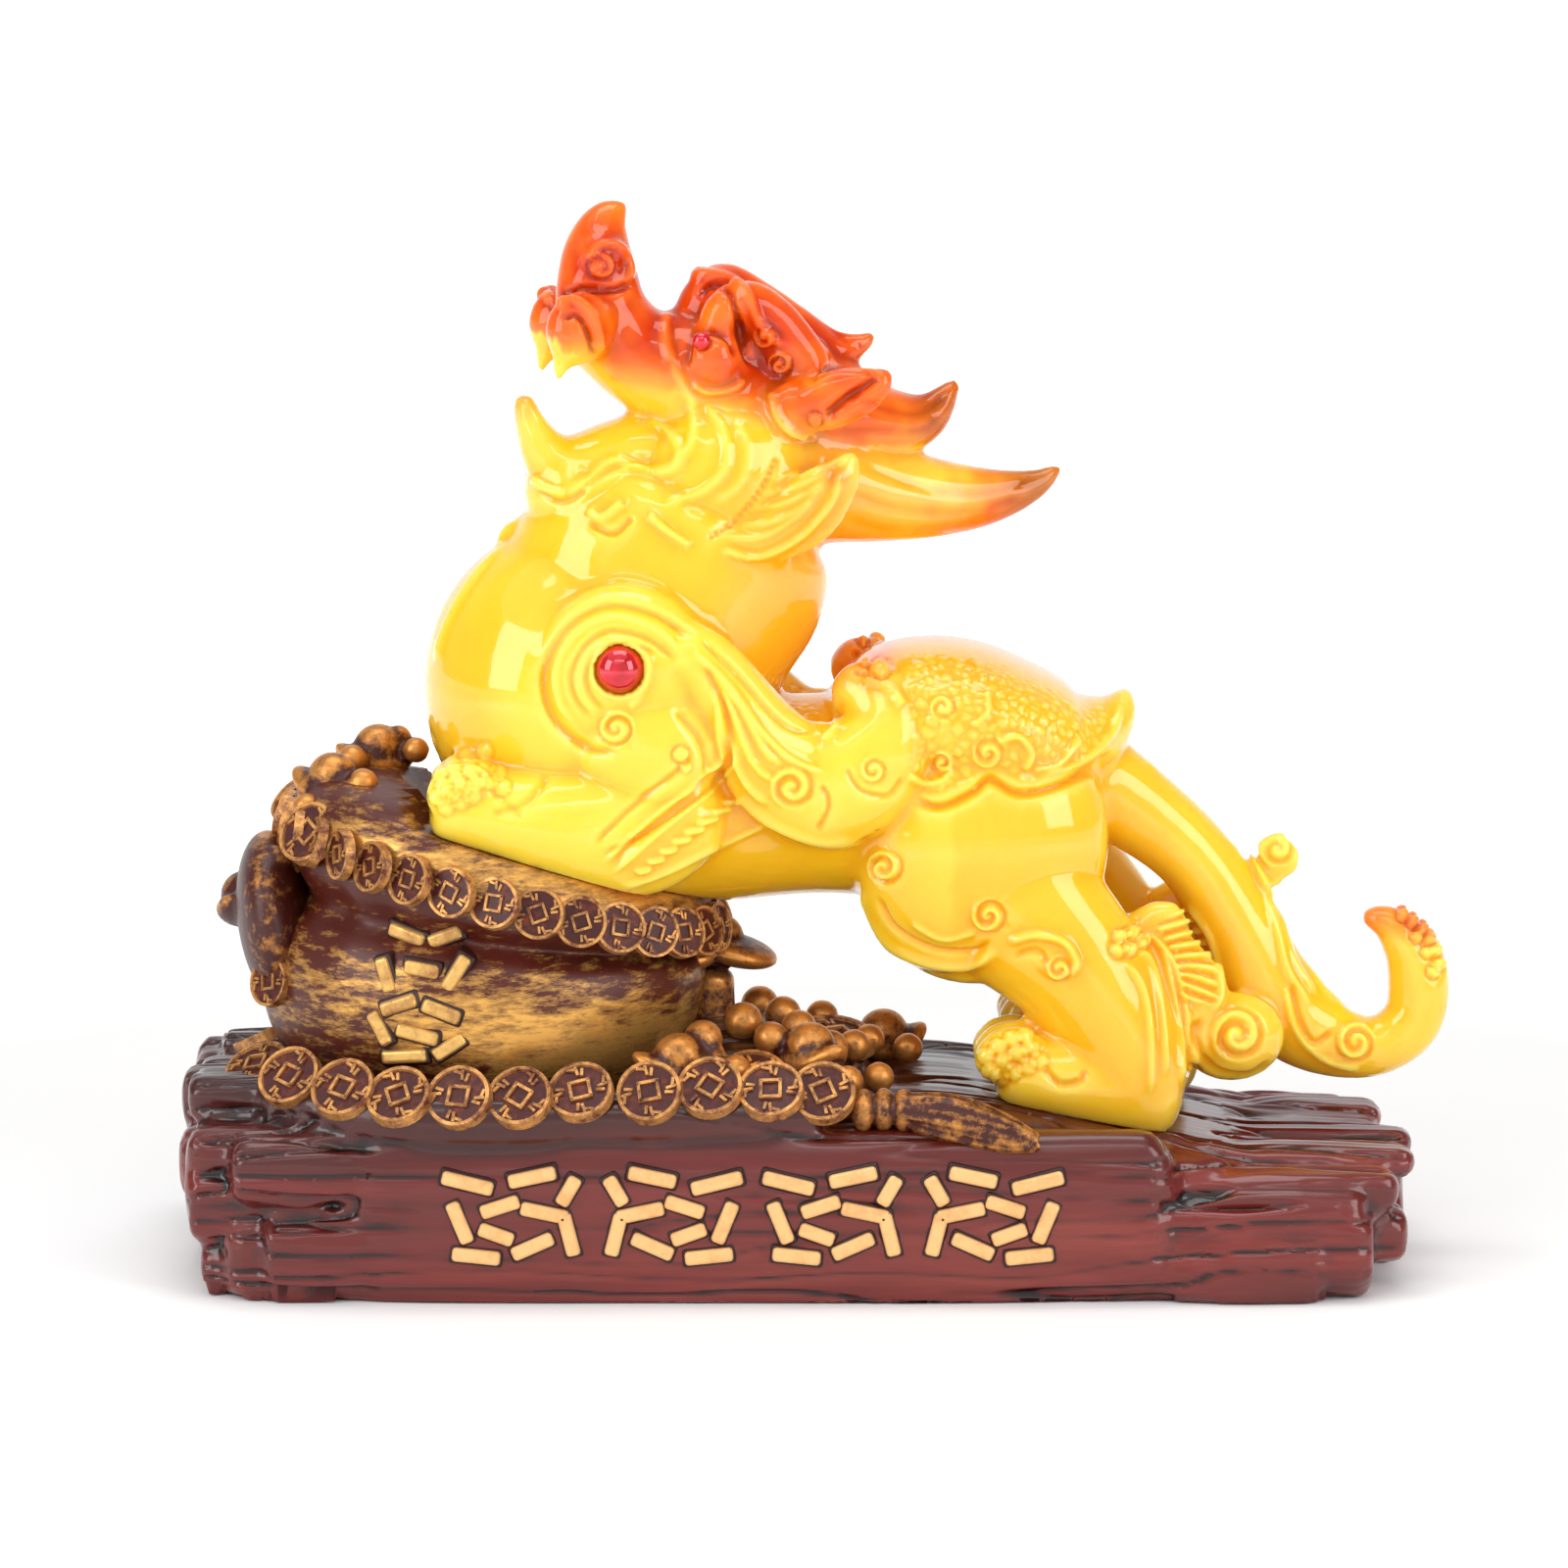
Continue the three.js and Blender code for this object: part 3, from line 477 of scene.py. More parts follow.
# %% [markdown]
# ## The photo's camera
#
# The relief is placed on the photo, so the script knows the camera that saw it: level
# with the beast's side, a little above it, through a long lens. A point of the model then has
# a place in the photo's frame, and a carved line can be laid where the photo shows it.

# %% The camera
PHOTO = 1600
view_target = Vector((-1.75, 0, 121.3)) * MM
view_distance = 1500 * MM
view_elevation = math.radians(9)
pixels_at_one = 6000.0
forward = Vector((0, math.cos(view_elevation), -math.sin(view_elevation)))
upward = Vector((0, math.sin(view_elevation), math.cos(view_elevation)))
eye_point = view_target - forward * view_distance

camera_data = bpy.data.cameras.new("camera")
camera_data.sensor_width = 36
camera_data.lens = pixels_at_one / PHOTO * camera_data.sensor_width
camera = bpy.data.objects.new("camera", camera_data)
camera.location = eye_point
camera.rotation_euler = forward.to_track_quat("-Z", "Y").to_euler()
bpy.context.scene.collection.objects.link(camera)
bpy.context.scene.camera = camera


def in_photo(points):
    """Where points in metres lie in the photo, as pixels from its upper left corner."""
    ray = points - np.array(eye_point)
    depth = ray @ np.array(forward)
    right = ray[:, 0] / depth
    up = (ray @ np.array(upward)) / depth
    return np.stack([PHOTO / 2 + pixels_at_one * right, PHOTO / 2 - pixels_at_one * up], axis=1)


print("the saddle's tip is at pixel", in_photo(np.array([[0.086, 0, 0.146]])).round())

# %% [markdown]
# ## The carving tools
#
# Carving a scanned or pressed form is best done by pushing its points along their normals.
# Both flanks of the beast are carved alike, so a point of the far flank is first folded over
# to the near one. A tool then measures how far each point lies from a line drawn on the
# photo, and answers with a height in millimetres: a groove, a bead, a row of ribs, a spiral.

# %% Folding the far flank over


def folded(points):
    """The near flank's twin of each point, and a mask of the points that lie on a flank."""
    near = points.copy()
    figure_z = points[:, 2] / MM - rise
    figure_x = points[:, 0] / MM
    far = points[:, 1] > 0
    head = figure_z > 187
    straight = yawed(near / MM, -head_yaw) * MM
    head_far = head & (straight[:, 1] > 0)
    straight[:, 1] = -np.abs(straight[:, 1])
    turned_back = yawed(straight / MM, head_yaw) * MM
    near[head_far] = turned_back[head_far]
    legs = far & (np.abs(points[:, 1]) > 9 * MM)
    legs &= ((figure_z < 134) & (figure_x < -8)) | ((figure_z < 106) & (figure_x > 30) & (figure_x < 140))
    near[legs, 0] -= far_step * MM
    body_far = far & ~head
    near[body_far, 1] *= -1
    return near


points = points_of(beast)
normals = normals_of(beast)
spots = in_photo(folded(points))
sideways = np.abs(normals[:, 1])
print("the near flank spans pixels", spots.min(axis=0).round(), spots.max(axis=0).round())

# %% Tools: distance, groove, bead, ribs and spiral
relief = np.zeros(len(points))


def bell(distance, width):
    return np.exp(-((distance / width) ** 2))


def fade(value, start, end):
    """0 at start, 1 at end, smooth between."""
    t = np.clip((value - start) / (end - start), 0, 1)
    return t * t * (3 - 2 * t)


def along_line(line, reach):
    """For the points near a smooth line: their index, distance, signed side and share along it."""
    line = np.array(line, float)
    steps = max(24, 10 * len(line))
    fine = smooth_line(line, np.linspace(0, 1, steps))
    low, high = fine.min(axis=0) - reach, fine.max(axis=0) + reach
    inside = np.all((spots > low) & (spots < high), axis=1) & (sideways > 0.12)
    index = np.flatnonzero(inside)
    spot = spots[index]
    best = np.full(len(index), 1e9)
    side = np.zeros(len(index))
    share = np.zeros(len(index))
    lengths = np.concatenate([[0], np.cumsum(np.linalg.norm(np.diff(fine, axis=0), axis=1))])
    for k in range(steps - 1):
        a, step = fine[k], fine[k + 1] - fine[k]
        size = step @ step
        t = np.clip((spot - a) @ step / size, 0, 1)
        away = spot - a - t[:, None] * step
        distance = np.linalg.norm(away, axis=1)
        closer = distance < best
        best[closer] = distance[closer]
        side[closer] = np.sign(step[0] * away[closer, 1] - step[1] * away[closer, 0])
        share[closer] = lengths[k] + t[closer] * math.sqrt(size)
    return index, best, side, share, lengths[-1]


def taper(share, length, ends=0.12):
    """1 in the middle of a line and 0 at its two ends."""
    return fade(share, 0, ends * length) * fade(length - share, 0, ends * length)


def bead(line, width, height, ends=0.12):
    """A rounded ridge along a line, with its width in pixels and its height in millimetres."""
    index, distance, _, share, length = along_line(line, width * 3)
    relief[index] += height * bell(distance, width) * taper(share, length, ends)


def groove(line, width, depth, ends=0.12):
    bead(line, width, -depth, ends)


def step_edge(line, width, height, soft=2.5):
    """A raised lip on the left of a line as it is walked, which fades away from it."""
    index, distance, side, share, length = along_line(line, width)
    rise_side = np.where(side > 0, distance, -distance)
    lip = fade(rise_side, -soft, soft) * (1 - fade(rise_side, soft, width))
    relief[index] += height * lip * taper(share, length, 0.08)


def ribs(line, half_width, pitch, height, slant=0.0):
    """A row of ribs across a band whose middle is a line."""
    index, distance, side, share, length = along_line(line, half_width + 4)
    wave = 0.5 + 0.5 * np.cos(2 * math.pi * (share + slant * side * distance) / pitch)
    band = 1 - fade(distance, half_width - 2, half_width + 2)
    relief[index] += height * (wave**0.7 - 0.5) * band * taper(share, length, 0.06)


def spiral(centre, radius, turns, height, start, hand, dome=0.6):
    """A rolled curl: a low dome with a groove that winds out from its middle."""
    away = spots - np.array(centre, float)
    distance = np.hypot(away[:, 0], away[:, 1])
    index = np.flatnonzero((distance < radius * 1.25) & (sideways > 0.12))
    r = distance[index] / radius
    angle = np.arctan2(-away[index, 1], away[index, 0]) * hand - start
    wind = np.cos(2 * math.pi * (r * turns - angle / (2 * math.pi)))
    inside = 1 - fade(r, 0.9, 1.15)
    relief[index] += inside * (height * 0.5 * wind * fade(r, 0.05, 0.3) + dome * (1 - r**2))


def knob(centre, radius, height):
    away = spots - np.array(centre, float)
    distance = np.hypot(away[:, 0], away[:, 1])
    index = np.flatnonzero((distance < radius * 1.6) & (sideways > 0.1))
    relief[index] += height * np.sqrt(np.clip(1 - (distance[index] / radius) ** 2, 0, 1))
    relief[index] -= 0.35 * height * bell(distance[index] - radius * 1.12, radius * 0.22)


# %% [markdown]
# ## Wing and shoulder
#
# The wing rolls out of a disc round the red stone. Rings wind round the stone into a small
# curl below it, and long flowing lines run down the strap to its scrolls and tip.

# %% Carve the wing
disc_edge = [
    (713, 650), (668, 622), (620, 613), (580, 632), (556, 668), (551, 706), (566, 742), (600, 768),
    (636, 770),
]
step_edge(disc_edge[::-1], 14, -1.0)
bead([(700, 668), (665, 640), (622, 630), (586, 648), (568, 684), (572, 718), (592, 744)], 3.6, 0.8)
groove([(692, 676), (664, 653), (624, 643), (596, 660), (582, 690), (588, 716), (606, 736)], 3.2, 0.7)
groove([(672, 668), (640, 656), (610, 664), (598, 690), (604, 712), (620, 728)], 2.8, 0.6)
bead([(661, 690), (652, 712), (640, 722)], 3.5, 0.5)
from_stone = np.hypot(spots[:, 0] - 633, spots[:, 1] - 683)
relief += 0.7 * bell(from_stone - 29, 3.2) * (sideways > 0.3)
spiral((629, 743), 18, 1.5, 1.3, 2.2, -1)
groove([(722, 676), (738, 720), (744, 762), (740, 800)], 5, 1.2)
groove([(713, 650), (751, 687), (799, 739), (833, 749)], 3.4, 0.6)
strap_lines = [
    [(706, 664), (744, 700), (780, 750), (812, 778), (846, 790)],
    [(718, 672), (752, 716), (780, 764), (800, 782)],
    [(724, 682), (748, 728), (768, 776), (792, 800)],
    [(728, 700), (742, 752), (760, 796), (786, 824)],
]
for line in strap_lines:
    bead(line, 3.4, 0.8)
bead([(733, 716), (738, 770), (752, 806), (786, 838), (836, 858), (890, 858)], 4.5, 1.0)
spiral((808, 803), 21, 1.4, 1.4, 0.8, 1)
spiral((891, 786), 13, 1.3, 1.2, 2.0, -1)
groove([(838, 800), (846, 822), (834, 850)], 3, 0.7)
groove([(862, 782), (878, 806), (906, 812), (924, 790)], 3, 0.6)
bead([(838, 706), (852, 722), (852, 742), (838, 756)], 4, 0.7)
for centre in [(846, 674), (864, 664), (884, 668), (898, 682)]:
    knob(centre, 10, 1.3)
bead([(880, 694), (904, 700), (922, 722)], 4.5, 1.2)
groove([(868, 684), (892, 692), (916, 712)], 3, 0.7)

# %% [markdown]
# ## Forelegs
#
# A bare tendon runs from the elbow to the bowl's rim with a ribbed fringe beside it, and the
# paw is pebbled all over.

# %% Carve the forelegs
bead([(612, 884), (660, 840), (712, 798), (745, 764)], 2.6, 0.9)
bead([(622, 894), (672, 850), (724, 808), (756, 772)], 2.6, 0.9)
groove([(606, 862), (646, 822), (690, 788), (708, 768)], 3.2, 0.7)
groove([(622, 880), (660, 846), (704, 812), (728, 790)], 3.4, 0.8)
knob((695, 770), 8, 1.2)
knob((700, 783), 6, 0.8)
groove([(690, 724), (714, 752), (722, 786), (706, 806)], 4, 0.8)
rib_count = 8
for k in range(rib_count):
    t = k / (rib_count - 1)
    x, y = 656 + 92 * t, 888 - 70 * t
    half = 10 + 5 * t
    bead([(x - half, y + half * 0.1), (x, y), (x + half, y - half * 0.3)], 2.7, 1.1, ends=0.3)
bead([(628, 908), (680, 890), (740, 860), (790, 838)], 3.5, 0.6)
groove([(614, 872), (660, 850), (716, 812), (742, 792)], 2.6, 0.7)
groove([(500, 832), (540, 816), (560, 790)], 5, 0.5)
paw_knobs = [
    (447, 788), (462, 780), (478, 772), (494, 768), (452, 802), (466, 796), (481, 786), (496, 783),
    (446, 814), (460, 810), (472, 803), (486, 799), (470, 818), (499, 797), (508, 788), (513, 802),
    (455, 824), (482, 812),
]
for centre in paw_knobs:
    knob(centre, 9, 0.42)
groove([(503, 806), (520, 820), (534, 836)], 5, 0.4)

# %% [markdown]
# ## Saddle, haunch and hind foot
#
# Scrolls edge the saddle and run down the front of the haunch, a curl of hair sends long
# lines down the shank, and the fringe behind the hock is ribbed and ends in a spiral.

# %% Carve the hind part
saddle_edge = [
    (933, 812), (958, 820), (990, 806), (1010, 792), (1040, 806), (1076, 800), (1118, 779),
    (1137, 762),
]
step_edge(saddle_edge, 13, -1.3, soft=2.2)
groove(saddle_edge, 3.2, 0.8)
bead([(926, 790), (944, 800), (964, 796), (972, 780)], 3.5, 0.9)
spiral((962, 778), 12, 1.2, 1.1, 0.5, 1)
spiral((1008, 768), 15, 1.2, 1.2, 1.5, -1)
bead([(1014, 758), (1038, 752), (1052, 768), (1044, 788)], 3.5, 1.0)
bead([(1052, 786), (1080, 778), (1104, 752)], 3.5, 0.8)
bead([(992, 742), (1008, 726), (1006, 704)], 3.5, 0.7)
spiral((962, 722), 13, 1.2, 1.0, 2.5, 1)
bead([(1060, 792), (1100, 778), (1132, 752), (1146, 716)], 4, 0.7)
bead([(880, 905), (882, 930), (906, 962), (948, 982), (992, 984), (1020, 968)], 4.5, 1.1)
spiral((903, 885), 17, 1.4, 1.5, 0.0, 1)
groove([(894, 912), (912, 946), (952, 968), (994, 970), (1012, 956)], 3.2, 0.8)
groove([(878, 930), (904, 974), (950, 996), (1000, 996)], 3.2, 0.7)
bead([(928, 940), (962, 958), (998, 950)], 3, 0.6)
spiral((1009, 934), 17, 1.4, 1.5, 1.2, -1)
bead([(1026, 962), (1056, 954), (1086, 962), (1098, 984), (1086, 1000)], 4, 1.1)
spiral((1081, 988), 13, 1.3, 1.2, 2.0, -1)
groove([(1034, 976), (1058, 970), (1070, 984)], 3, 0.6)
for centre in [(1144, 956), (1156, 952), (1166, 960), (1141, 969), (1152, 968)]:
    knob(centre, 8, 1.1)
hair_lines = [
    [(1160, 948), (1184, 966), (1196, 1010), (1204, 1060), (1206, 1110)],
    [(1160, 962), (1176, 990), (1186, 1040), (1190, 1100)],
    [(1172, 952), (1196, 980), (1210, 1030), (1216, 1080)],
    [(1148, 980), (1166, 1010), (1174, 1060), (1174, 1120)],
]
for line in hair_lines:
    bead(line, 3.4, 0.8)
ribs([(1192, 934), (1210, 960), (1222, 990), (1222, 1026)], half_width=18, pitch=12, height=1.5, slant=0.35)
bead([(1210, 920), (1236, 960), (1246, 1010), (1236, 1034)], 3.5, 0.7)
spiral((1262, 1056), 26, 1.3, 1.8, 1.4, 1, dome=1.2)
groove([(1228, 1034), (1222, 1062), (1240, 1092), (1276, 1098), (1300, 1080)], 4, 0.8)
groove([(1218, 1040), (1214, 1080), (1224, 1100)], 4, 0.9)
hind_knobs = [
    (1006, 1078), (1018, 1068), (1032, 1060), (1046, 1056), (1010, 1094), (1024, 1084), (1038, 1076),
    (1052, 1070), (1020, 1100), (1034, 1094), (1048, 1088), (1060, 1082),
]
for centre in hind_knobs:
    knob(centre, 9.5, 0.48)
groove([(1064, 1086), (1080, 1106), (1100, 1104), (1110, 1090)], 4, 0.8)
bead([(1160, 776), (1200, 790), (1240, 830), (1270, 880)], 3.6, 0.5)

# %% Carve the tail
tail_lines = [
    [(1256, 850), (1282, 890), (1300, 940), (1314, 990), (1340, 1030)],
    [(1270, 864), (1300, 920), (1318, 976), (1346, 1020)],
    [(1300, 900), (1330, 970), (1356, 1016), (1390, 1030)],
    [(1312, 1010), (1322, 1050), (1350, 1080), (1390, 1092)],
]
for line in tail_lines:
    bead(line, 3.6, 0.7)
spiral((1383, 1064), 19, 1.4, 1.5, 2.2, -1)
groove([(1362, 1050), (1340, 1064), (1326, 1040), (1318, 1000)], 3.4, 0.8)
spiral((1303, 867), 17, 1.2, 1.2, 2.6, 1)
bead([(1276, 872), (1296, 900), (1318, 888), (1322, 862)], 3.2, 0.5)
for centre in [
    (1432, 934), (1442, 940), (1452, 948), (1446, 956), (1458, 958), (1464, 970), (1456, 972),
    (1468, 984), (1462, 992),
]:
    knob(centre, 6.5, 1.1)

# %% [markdown]
# ## The face
#
# Rings flow round the corner of the mouth, the cheek's fin is ribbed behind a beaded seam,
# and the nose, lips, brow and ear each have their own rolled edge.

# %% Carve the face
mouth_rings = [
    ([(655, 424), (688, 446), (692, 476), (664, 484), (628, 470), (600, 490), (574, 506)], 3.4, 0.9),
    ([
        (682, 350), (690, 380), (706, 410), (706, 450), (684, 476), (640, 480), (606, 498), (580, 516),
    ], 3.6, 0.9),
    ([(718, 410), (738, 440), (740, 476), (718, 500), (676, 516)], 3.6, 0.8),
    ([(748, 426), (764, 456), (756, 492), (728, 514)], 3.4, 0.5),
]
for line, width, height in mouth_rings:
    bead(line, width * 1.5, height * 0.7)
bead([(680, 318), (678, 344), (684, 372)], 6, 0.8)
bead([(543, 486), (556, 498), (578, 504)], 4, 0.9)
groove([(548, 500), (572, 512), (600, 500)], 3, 0.6)
bead([(600, 518), (614, 528), (636, 512)], 4.5, 0.8)
groove([(600, 534), (626, 544), (646, 526)], 3.5, 0.8)
bead([(660, 524), (684, 544), (706, 558)], 3.6, 0.9)
fin_seam = [(722, 550), (752, 530), (778, 498), (794, 466)]
groove(fin_seam, 3.0, 0.5, ends=0.05)
ribs(fin_seam, half_width=3, pitch=7.5, height=0.4)
fin_ribs = [
    [(738, 548), (776, 548), (812, 528), (832, 508)],
    [(752, 536), (790, 532), (824, 512), (842, 492)],
    [(766, 520), (800, 514), (832, 498), (850, 480)],
    [(778, 504), (808, 498), (836, 486), (854, 474)],
    [(788, 488), (814, 484), (840, 478), (856, 470)],
]
for line in fin_ribs:
    bead(line, 3.4, 0.3)
bead([(732, 560), (772, 568), (816, 548), (848, 512), (858, 478)], 4, 0.8)
bead([(600, 266), (612, 250), (632, 252), (642, 272), (640, 290)], 3.6, 1.0)
spiral((612, 272), 14, 1.0, 1.0, 1.0, 1, dome=1.2)
groove([(574, 304), (596, 294), (626, 296), (646, 290)], 4, 1.1)
bead([(566, 316), (584, 306), (602, 318), (610, 340), (612, 362)], 4.5, 1.2)
groove([(572, 326), (588, 322), (600, 340), (606, 366)], 3.2, 1.0)
bead([(700, 290), (716, 280), (744, 284), (762, 300), (776, 330), (800, 356)], 4.5, 1.0)
groove([(712, 306), (724, 292), (742, 296), (752, 320), (758, 350), (768, 378)], 3.6, 1.0)
spiral((797, 371), 12, 1.3, 1.2, 0.6, 1)
spiral((782, 342), 12, 1.1, 1.0, 2.0, -1)
bead([(705, 390), (724, 400), (750, 396), (758, 384)], 4, 1.0)
groove([(700, 378), (704, 350), (720, 338), (744, 346), (752, 368)], 3.6, 0.9)
bead([(788, 398), (796, 426), (812, 442), (836, 444)], 4.5, 1.2)
groove([(824, 390), (850, 376), (880, 378), (896, 378)], 3.0, 0.5)
groove([(842, 428), (864, 408), (886, 392), (898, 380)], 6.5, 1.6)
knob((832, 428), 7, 0.9)

# %% Carve mane, chest and back
mane_lines = [
    [(860, 400), (900, 416), (940, 422), (970, 400)],
    [(850, 440), (900, 440), (940, 440), (962, 420)],
    [(870, 470), (930, 494), (990, 504), (1060, 490)],
    [(860, 500), (920, 520), (990, 522), (1050, 504)],
    [(860, 530), (910, 542), (970, 540), (1020, 520)],
    [(840, 320), (862, 346), (884, 356)],
]
for line in mane_lines:
    groove(line, 6, 0.35)
bead([(521, 548), (500, 570), (476, 602), (456, 640), (444, 680)], 3.4, 0.8)

print("carved from", relief.min().round(2), "to", relief.max().round(2), "mm")

# %% [markdown]
# ## Scales
#
# The saddle and the hollow before it are covered with fine scales. A Voronoi noise splits
# space into cells, and the distance to a cell's wall makes each cell a small flat scale.

# %% Scale the saddle
saddle_line = np.array(saddle_edge, float)
edge_y = np.interp(spots[:, 0], saddle_line[:, 0], saddle_line[:, 1])
scaly = fade(spots[:, 0], 922, 934) * (1 - fade(spots[:, 0], 1120, 1142)) * fade(edge_y - spots[:, 1], 6, 14)
hollow = fade(spots[:, 0], 738, 752) * (1 - fade(spots[:, 0], 826, 846))
hollow *= fade(spots[:, 1], 684, 694) * (np.abs(points[:, 1]) < 27 * MM)
scaly = np.maximum(scaly, hollow) * (1 - fade(np.abs(relief), 0.15, 0.5))
on_body = (points[:, 2] / MM - rise > 118) & (points[:, 2] / MM - rise < 178)
scaly *= on_body * fade(sideways, 0.12, 0.4)
scale_size = 2.6
scales = np.zeros(len(points))
for index in np.flatnonzero(scaly > 0.02):
    near, next_near = noise.voronoi(points[index] / (scale_size * MM))[0][:2]
    scales[index] = min(next_near - near, 0.4) / 0.4
print("scales on", int((scaly > 0.02).sum()), "points")

# %% Push the points along their normals
carving_depth = 1.6
flank = fade(sideways, 0.05, 0.35)
relief *= flank
push = carving_depth * relief + 0.5 * scaly * (scales - 0.5)
points += normals * (push * MM)[:, None]

# %% [markdown]
# ## Seats and sockets
#
# The beast is cast separately and set on the base, so its belly and feet are cut flat on the
# two seats. The stones stand in round cups, which are pressed in behind them.

# %% Flatten the seats
figure = points / MM
figure[:, 2] -= rise
fore = (figure[:, 0] < -16) & (figure[:, 2] < fore_level(figure[:, 0]))
hind = (figure[:, 0] > 30) & (figure[:, 0] < 110) & (figure[:, 2] < hind_level(figure[:, 0]))
figure[fore, 2] = fore_level(figure[fore, 0])
figure[hind, 2] = hind_level(figure[hind, 0])

# %% Press the sockets and set the stones
stone_gap = 0.12


def press_socket(centre, radius, side):
    """Pushes the skin in front of a stone back behind it."""
    away = np.hypot(figure[:, 0] - centre[0], figure[:, 2] - centre[2])
    reach = radius + stone_gap
    inside = (away < reach) & (side * figure[:, 1] > side * centre[1] - radius)
    cup = side * centre[1] - np.sqrt(np.clip(reach**2 - away[inside] ** 2, 0, None))
    figure[inside, 1] = side * np.minimum(side * figure[inside, 1], cup)


def set_stone(name, centre, radius):
    """A polished cabochon: a ball with its top a little flattened."""
    gem = bmesh.new()
    ball(gem, centre, (radius, radius * 0.95, radius), sides=48, rings=32)
    bmesh.ops.transform(gem, matrix=to_frame, verts=gem.verts)
    piece = new_piece(name, gem)
    for face in piece.data.polygons:
        face.use_smooth = True
    return piece


shoulder_radius, eye_radius = 6.0, 2.3
stones = []
for side, word in ((-1, "left"), (1, "right")):
    shoulder = (-42.4, side * 42.2, 159.7)
    eye = tuple(yawed(np.array([[-26.5, side * 20.2, 239.0]]), head_yaw)[0])
    for part, centre, radius in (("shoulder", shoulder, shoulder_radius), ("eye", eye, eye_radius)):
        press_socket(centre, radius, side)
        stones.append(set_stone(f"{part}_stone_{word}_cut", centre, radius))
        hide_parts(f"{part}_stone_{word}")

figure[:, 2] += rise
move_points(beast, figure * MM)
for stone in stones:
    apart = np.linalg.norm(points_of(beast) - points_of(stone).mean(axis=0), axis=1).min() / MM
    print("the skin is", apart.round(2), "mm from the middle of", stone.name)
# The bulge of each point gives two masks of painted light: a painted highlight on the raised edges and
# painted shade in the creases.
bulge_for_painted_light = bulge(beast, 14)
add_mask(beast, "raised", bulge_for_painted_light / 0.28)
add_mask(beast, "sunk", -bulge_for_painted_light / 0.28)
print("edges stand out up to", bulge_for_painted_light.max().round(2), "mm")
thin_out(beast, 192000)
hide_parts("pixiu")

# %% [markdown]
# ## The base's wood
#
# The base looks like a bundle of split logs. A rounded core and six-sided logs give its bulk,
# thick slabs end raggedly at both ends, and a low mound carries the coins. All of them are
# pressed into one skin.

# %% Core and logs
half_length, half_depth = 156.0, 61.0


def seat_top(x):
    """The top of the wood: level under the bowl, falling under the hind feet."""
    return min(base_height, hind_level(x) + rise)


def model_log(clay, low, high, across, level, tall, wide, turn):
    """A split log along X, with drawn-in ends. Numbers are shares of the base's half sizes."""
    log = bmesh.new()
    bmesh.ops.create_cone(log, cap_ends=True, segments=6, radius1=1, radius2=1, depth=2)
    sides = [edge for edge in log.edges if abs(edge.verts[0].co.z - edge.verts[1].co.z) > 1]
    bmesh.ops.subdivide_edges(log, edges=sides, cuts=2)
    spin = Matrix.Rotation(math.radians(turn), 3, "Z")
    for vert in log.verts:
        turned = spin @ vert.co
        at_end = abs(turned.z) > 0.9
        share = 0.5 + math.copysign(0.5 if at_end else 0.46, turned.z)
        drawn = 0.78 if at_end else 1
        vert.co = (
            half_length * (low + (high - low) * share),
            half_depth * (across - wide * drawn * turned.x),
            base_height * (level + tall * drawn * turned.y),
        )
    add_lump(clay, log)


wood = bmesh.new()
core = 14
core_run = [
    (-half_length + 22, half_depth - 12), (-half_length * 0.6, half_depth - 4), (0, half_depth - 3),
    (46, half_depth - 3), (half_length * 0.72, half_depth - 7), (half_length - 18, half_depth - 16),
]
roll(
    wood, [(x, 0, core, seat_top(x) - core, wide) for x, wide in core_run],
    blunt=0.02, squareness=5, sides=64, rings=60,
)
front_depth = half_depth * 0.14
front_size = (-half_depth + front_depth, base_height * 0.46, base_height * 0.45, front_depth)
front_run = [(half_length * share, *front_size) for share in (-0.72, 0, 0.62)]
roll(wood, front_run, blunt=0.05, squareness=3, sides=48, rings=60)
logs = [
    (-1.0, -0.6, 0.55, 0.74, 0.3, 0.34, 10), (-0.97, -0.5, -0.62, 0.58, 0.3, 0.28, 25),
    (-0.9, -0.35, -0.78, 0.2, 0.28, 0.18, 0), (-0.99, -0.6, -0.05, 0.46, 0.42, 0.34, 40),
    (-0.94, -0.3, 0.78, 0.3, 0.36, 0.2, 15), (0.3, 0.93, -0.8, 0.25, 0.3, 0.18, 5),
    (0.45, 0.96, -0.58, 0.42, 0.22, 0.24, 30), (0.55, 1.0, -0.12, 0.3, 0.3, 0.32, 20),
    (0.4, 0.98, 0.45, 0.34, 0.3, 0.32, 35), (-0.6, 0.5, 0.84, 0.5, 0.44, 0.16, 12),
    (0.3, 0.93, 0.8, 0.26, 0.3, 0.18, 0),
]
for log in logs:
    model_log(wood, *log)

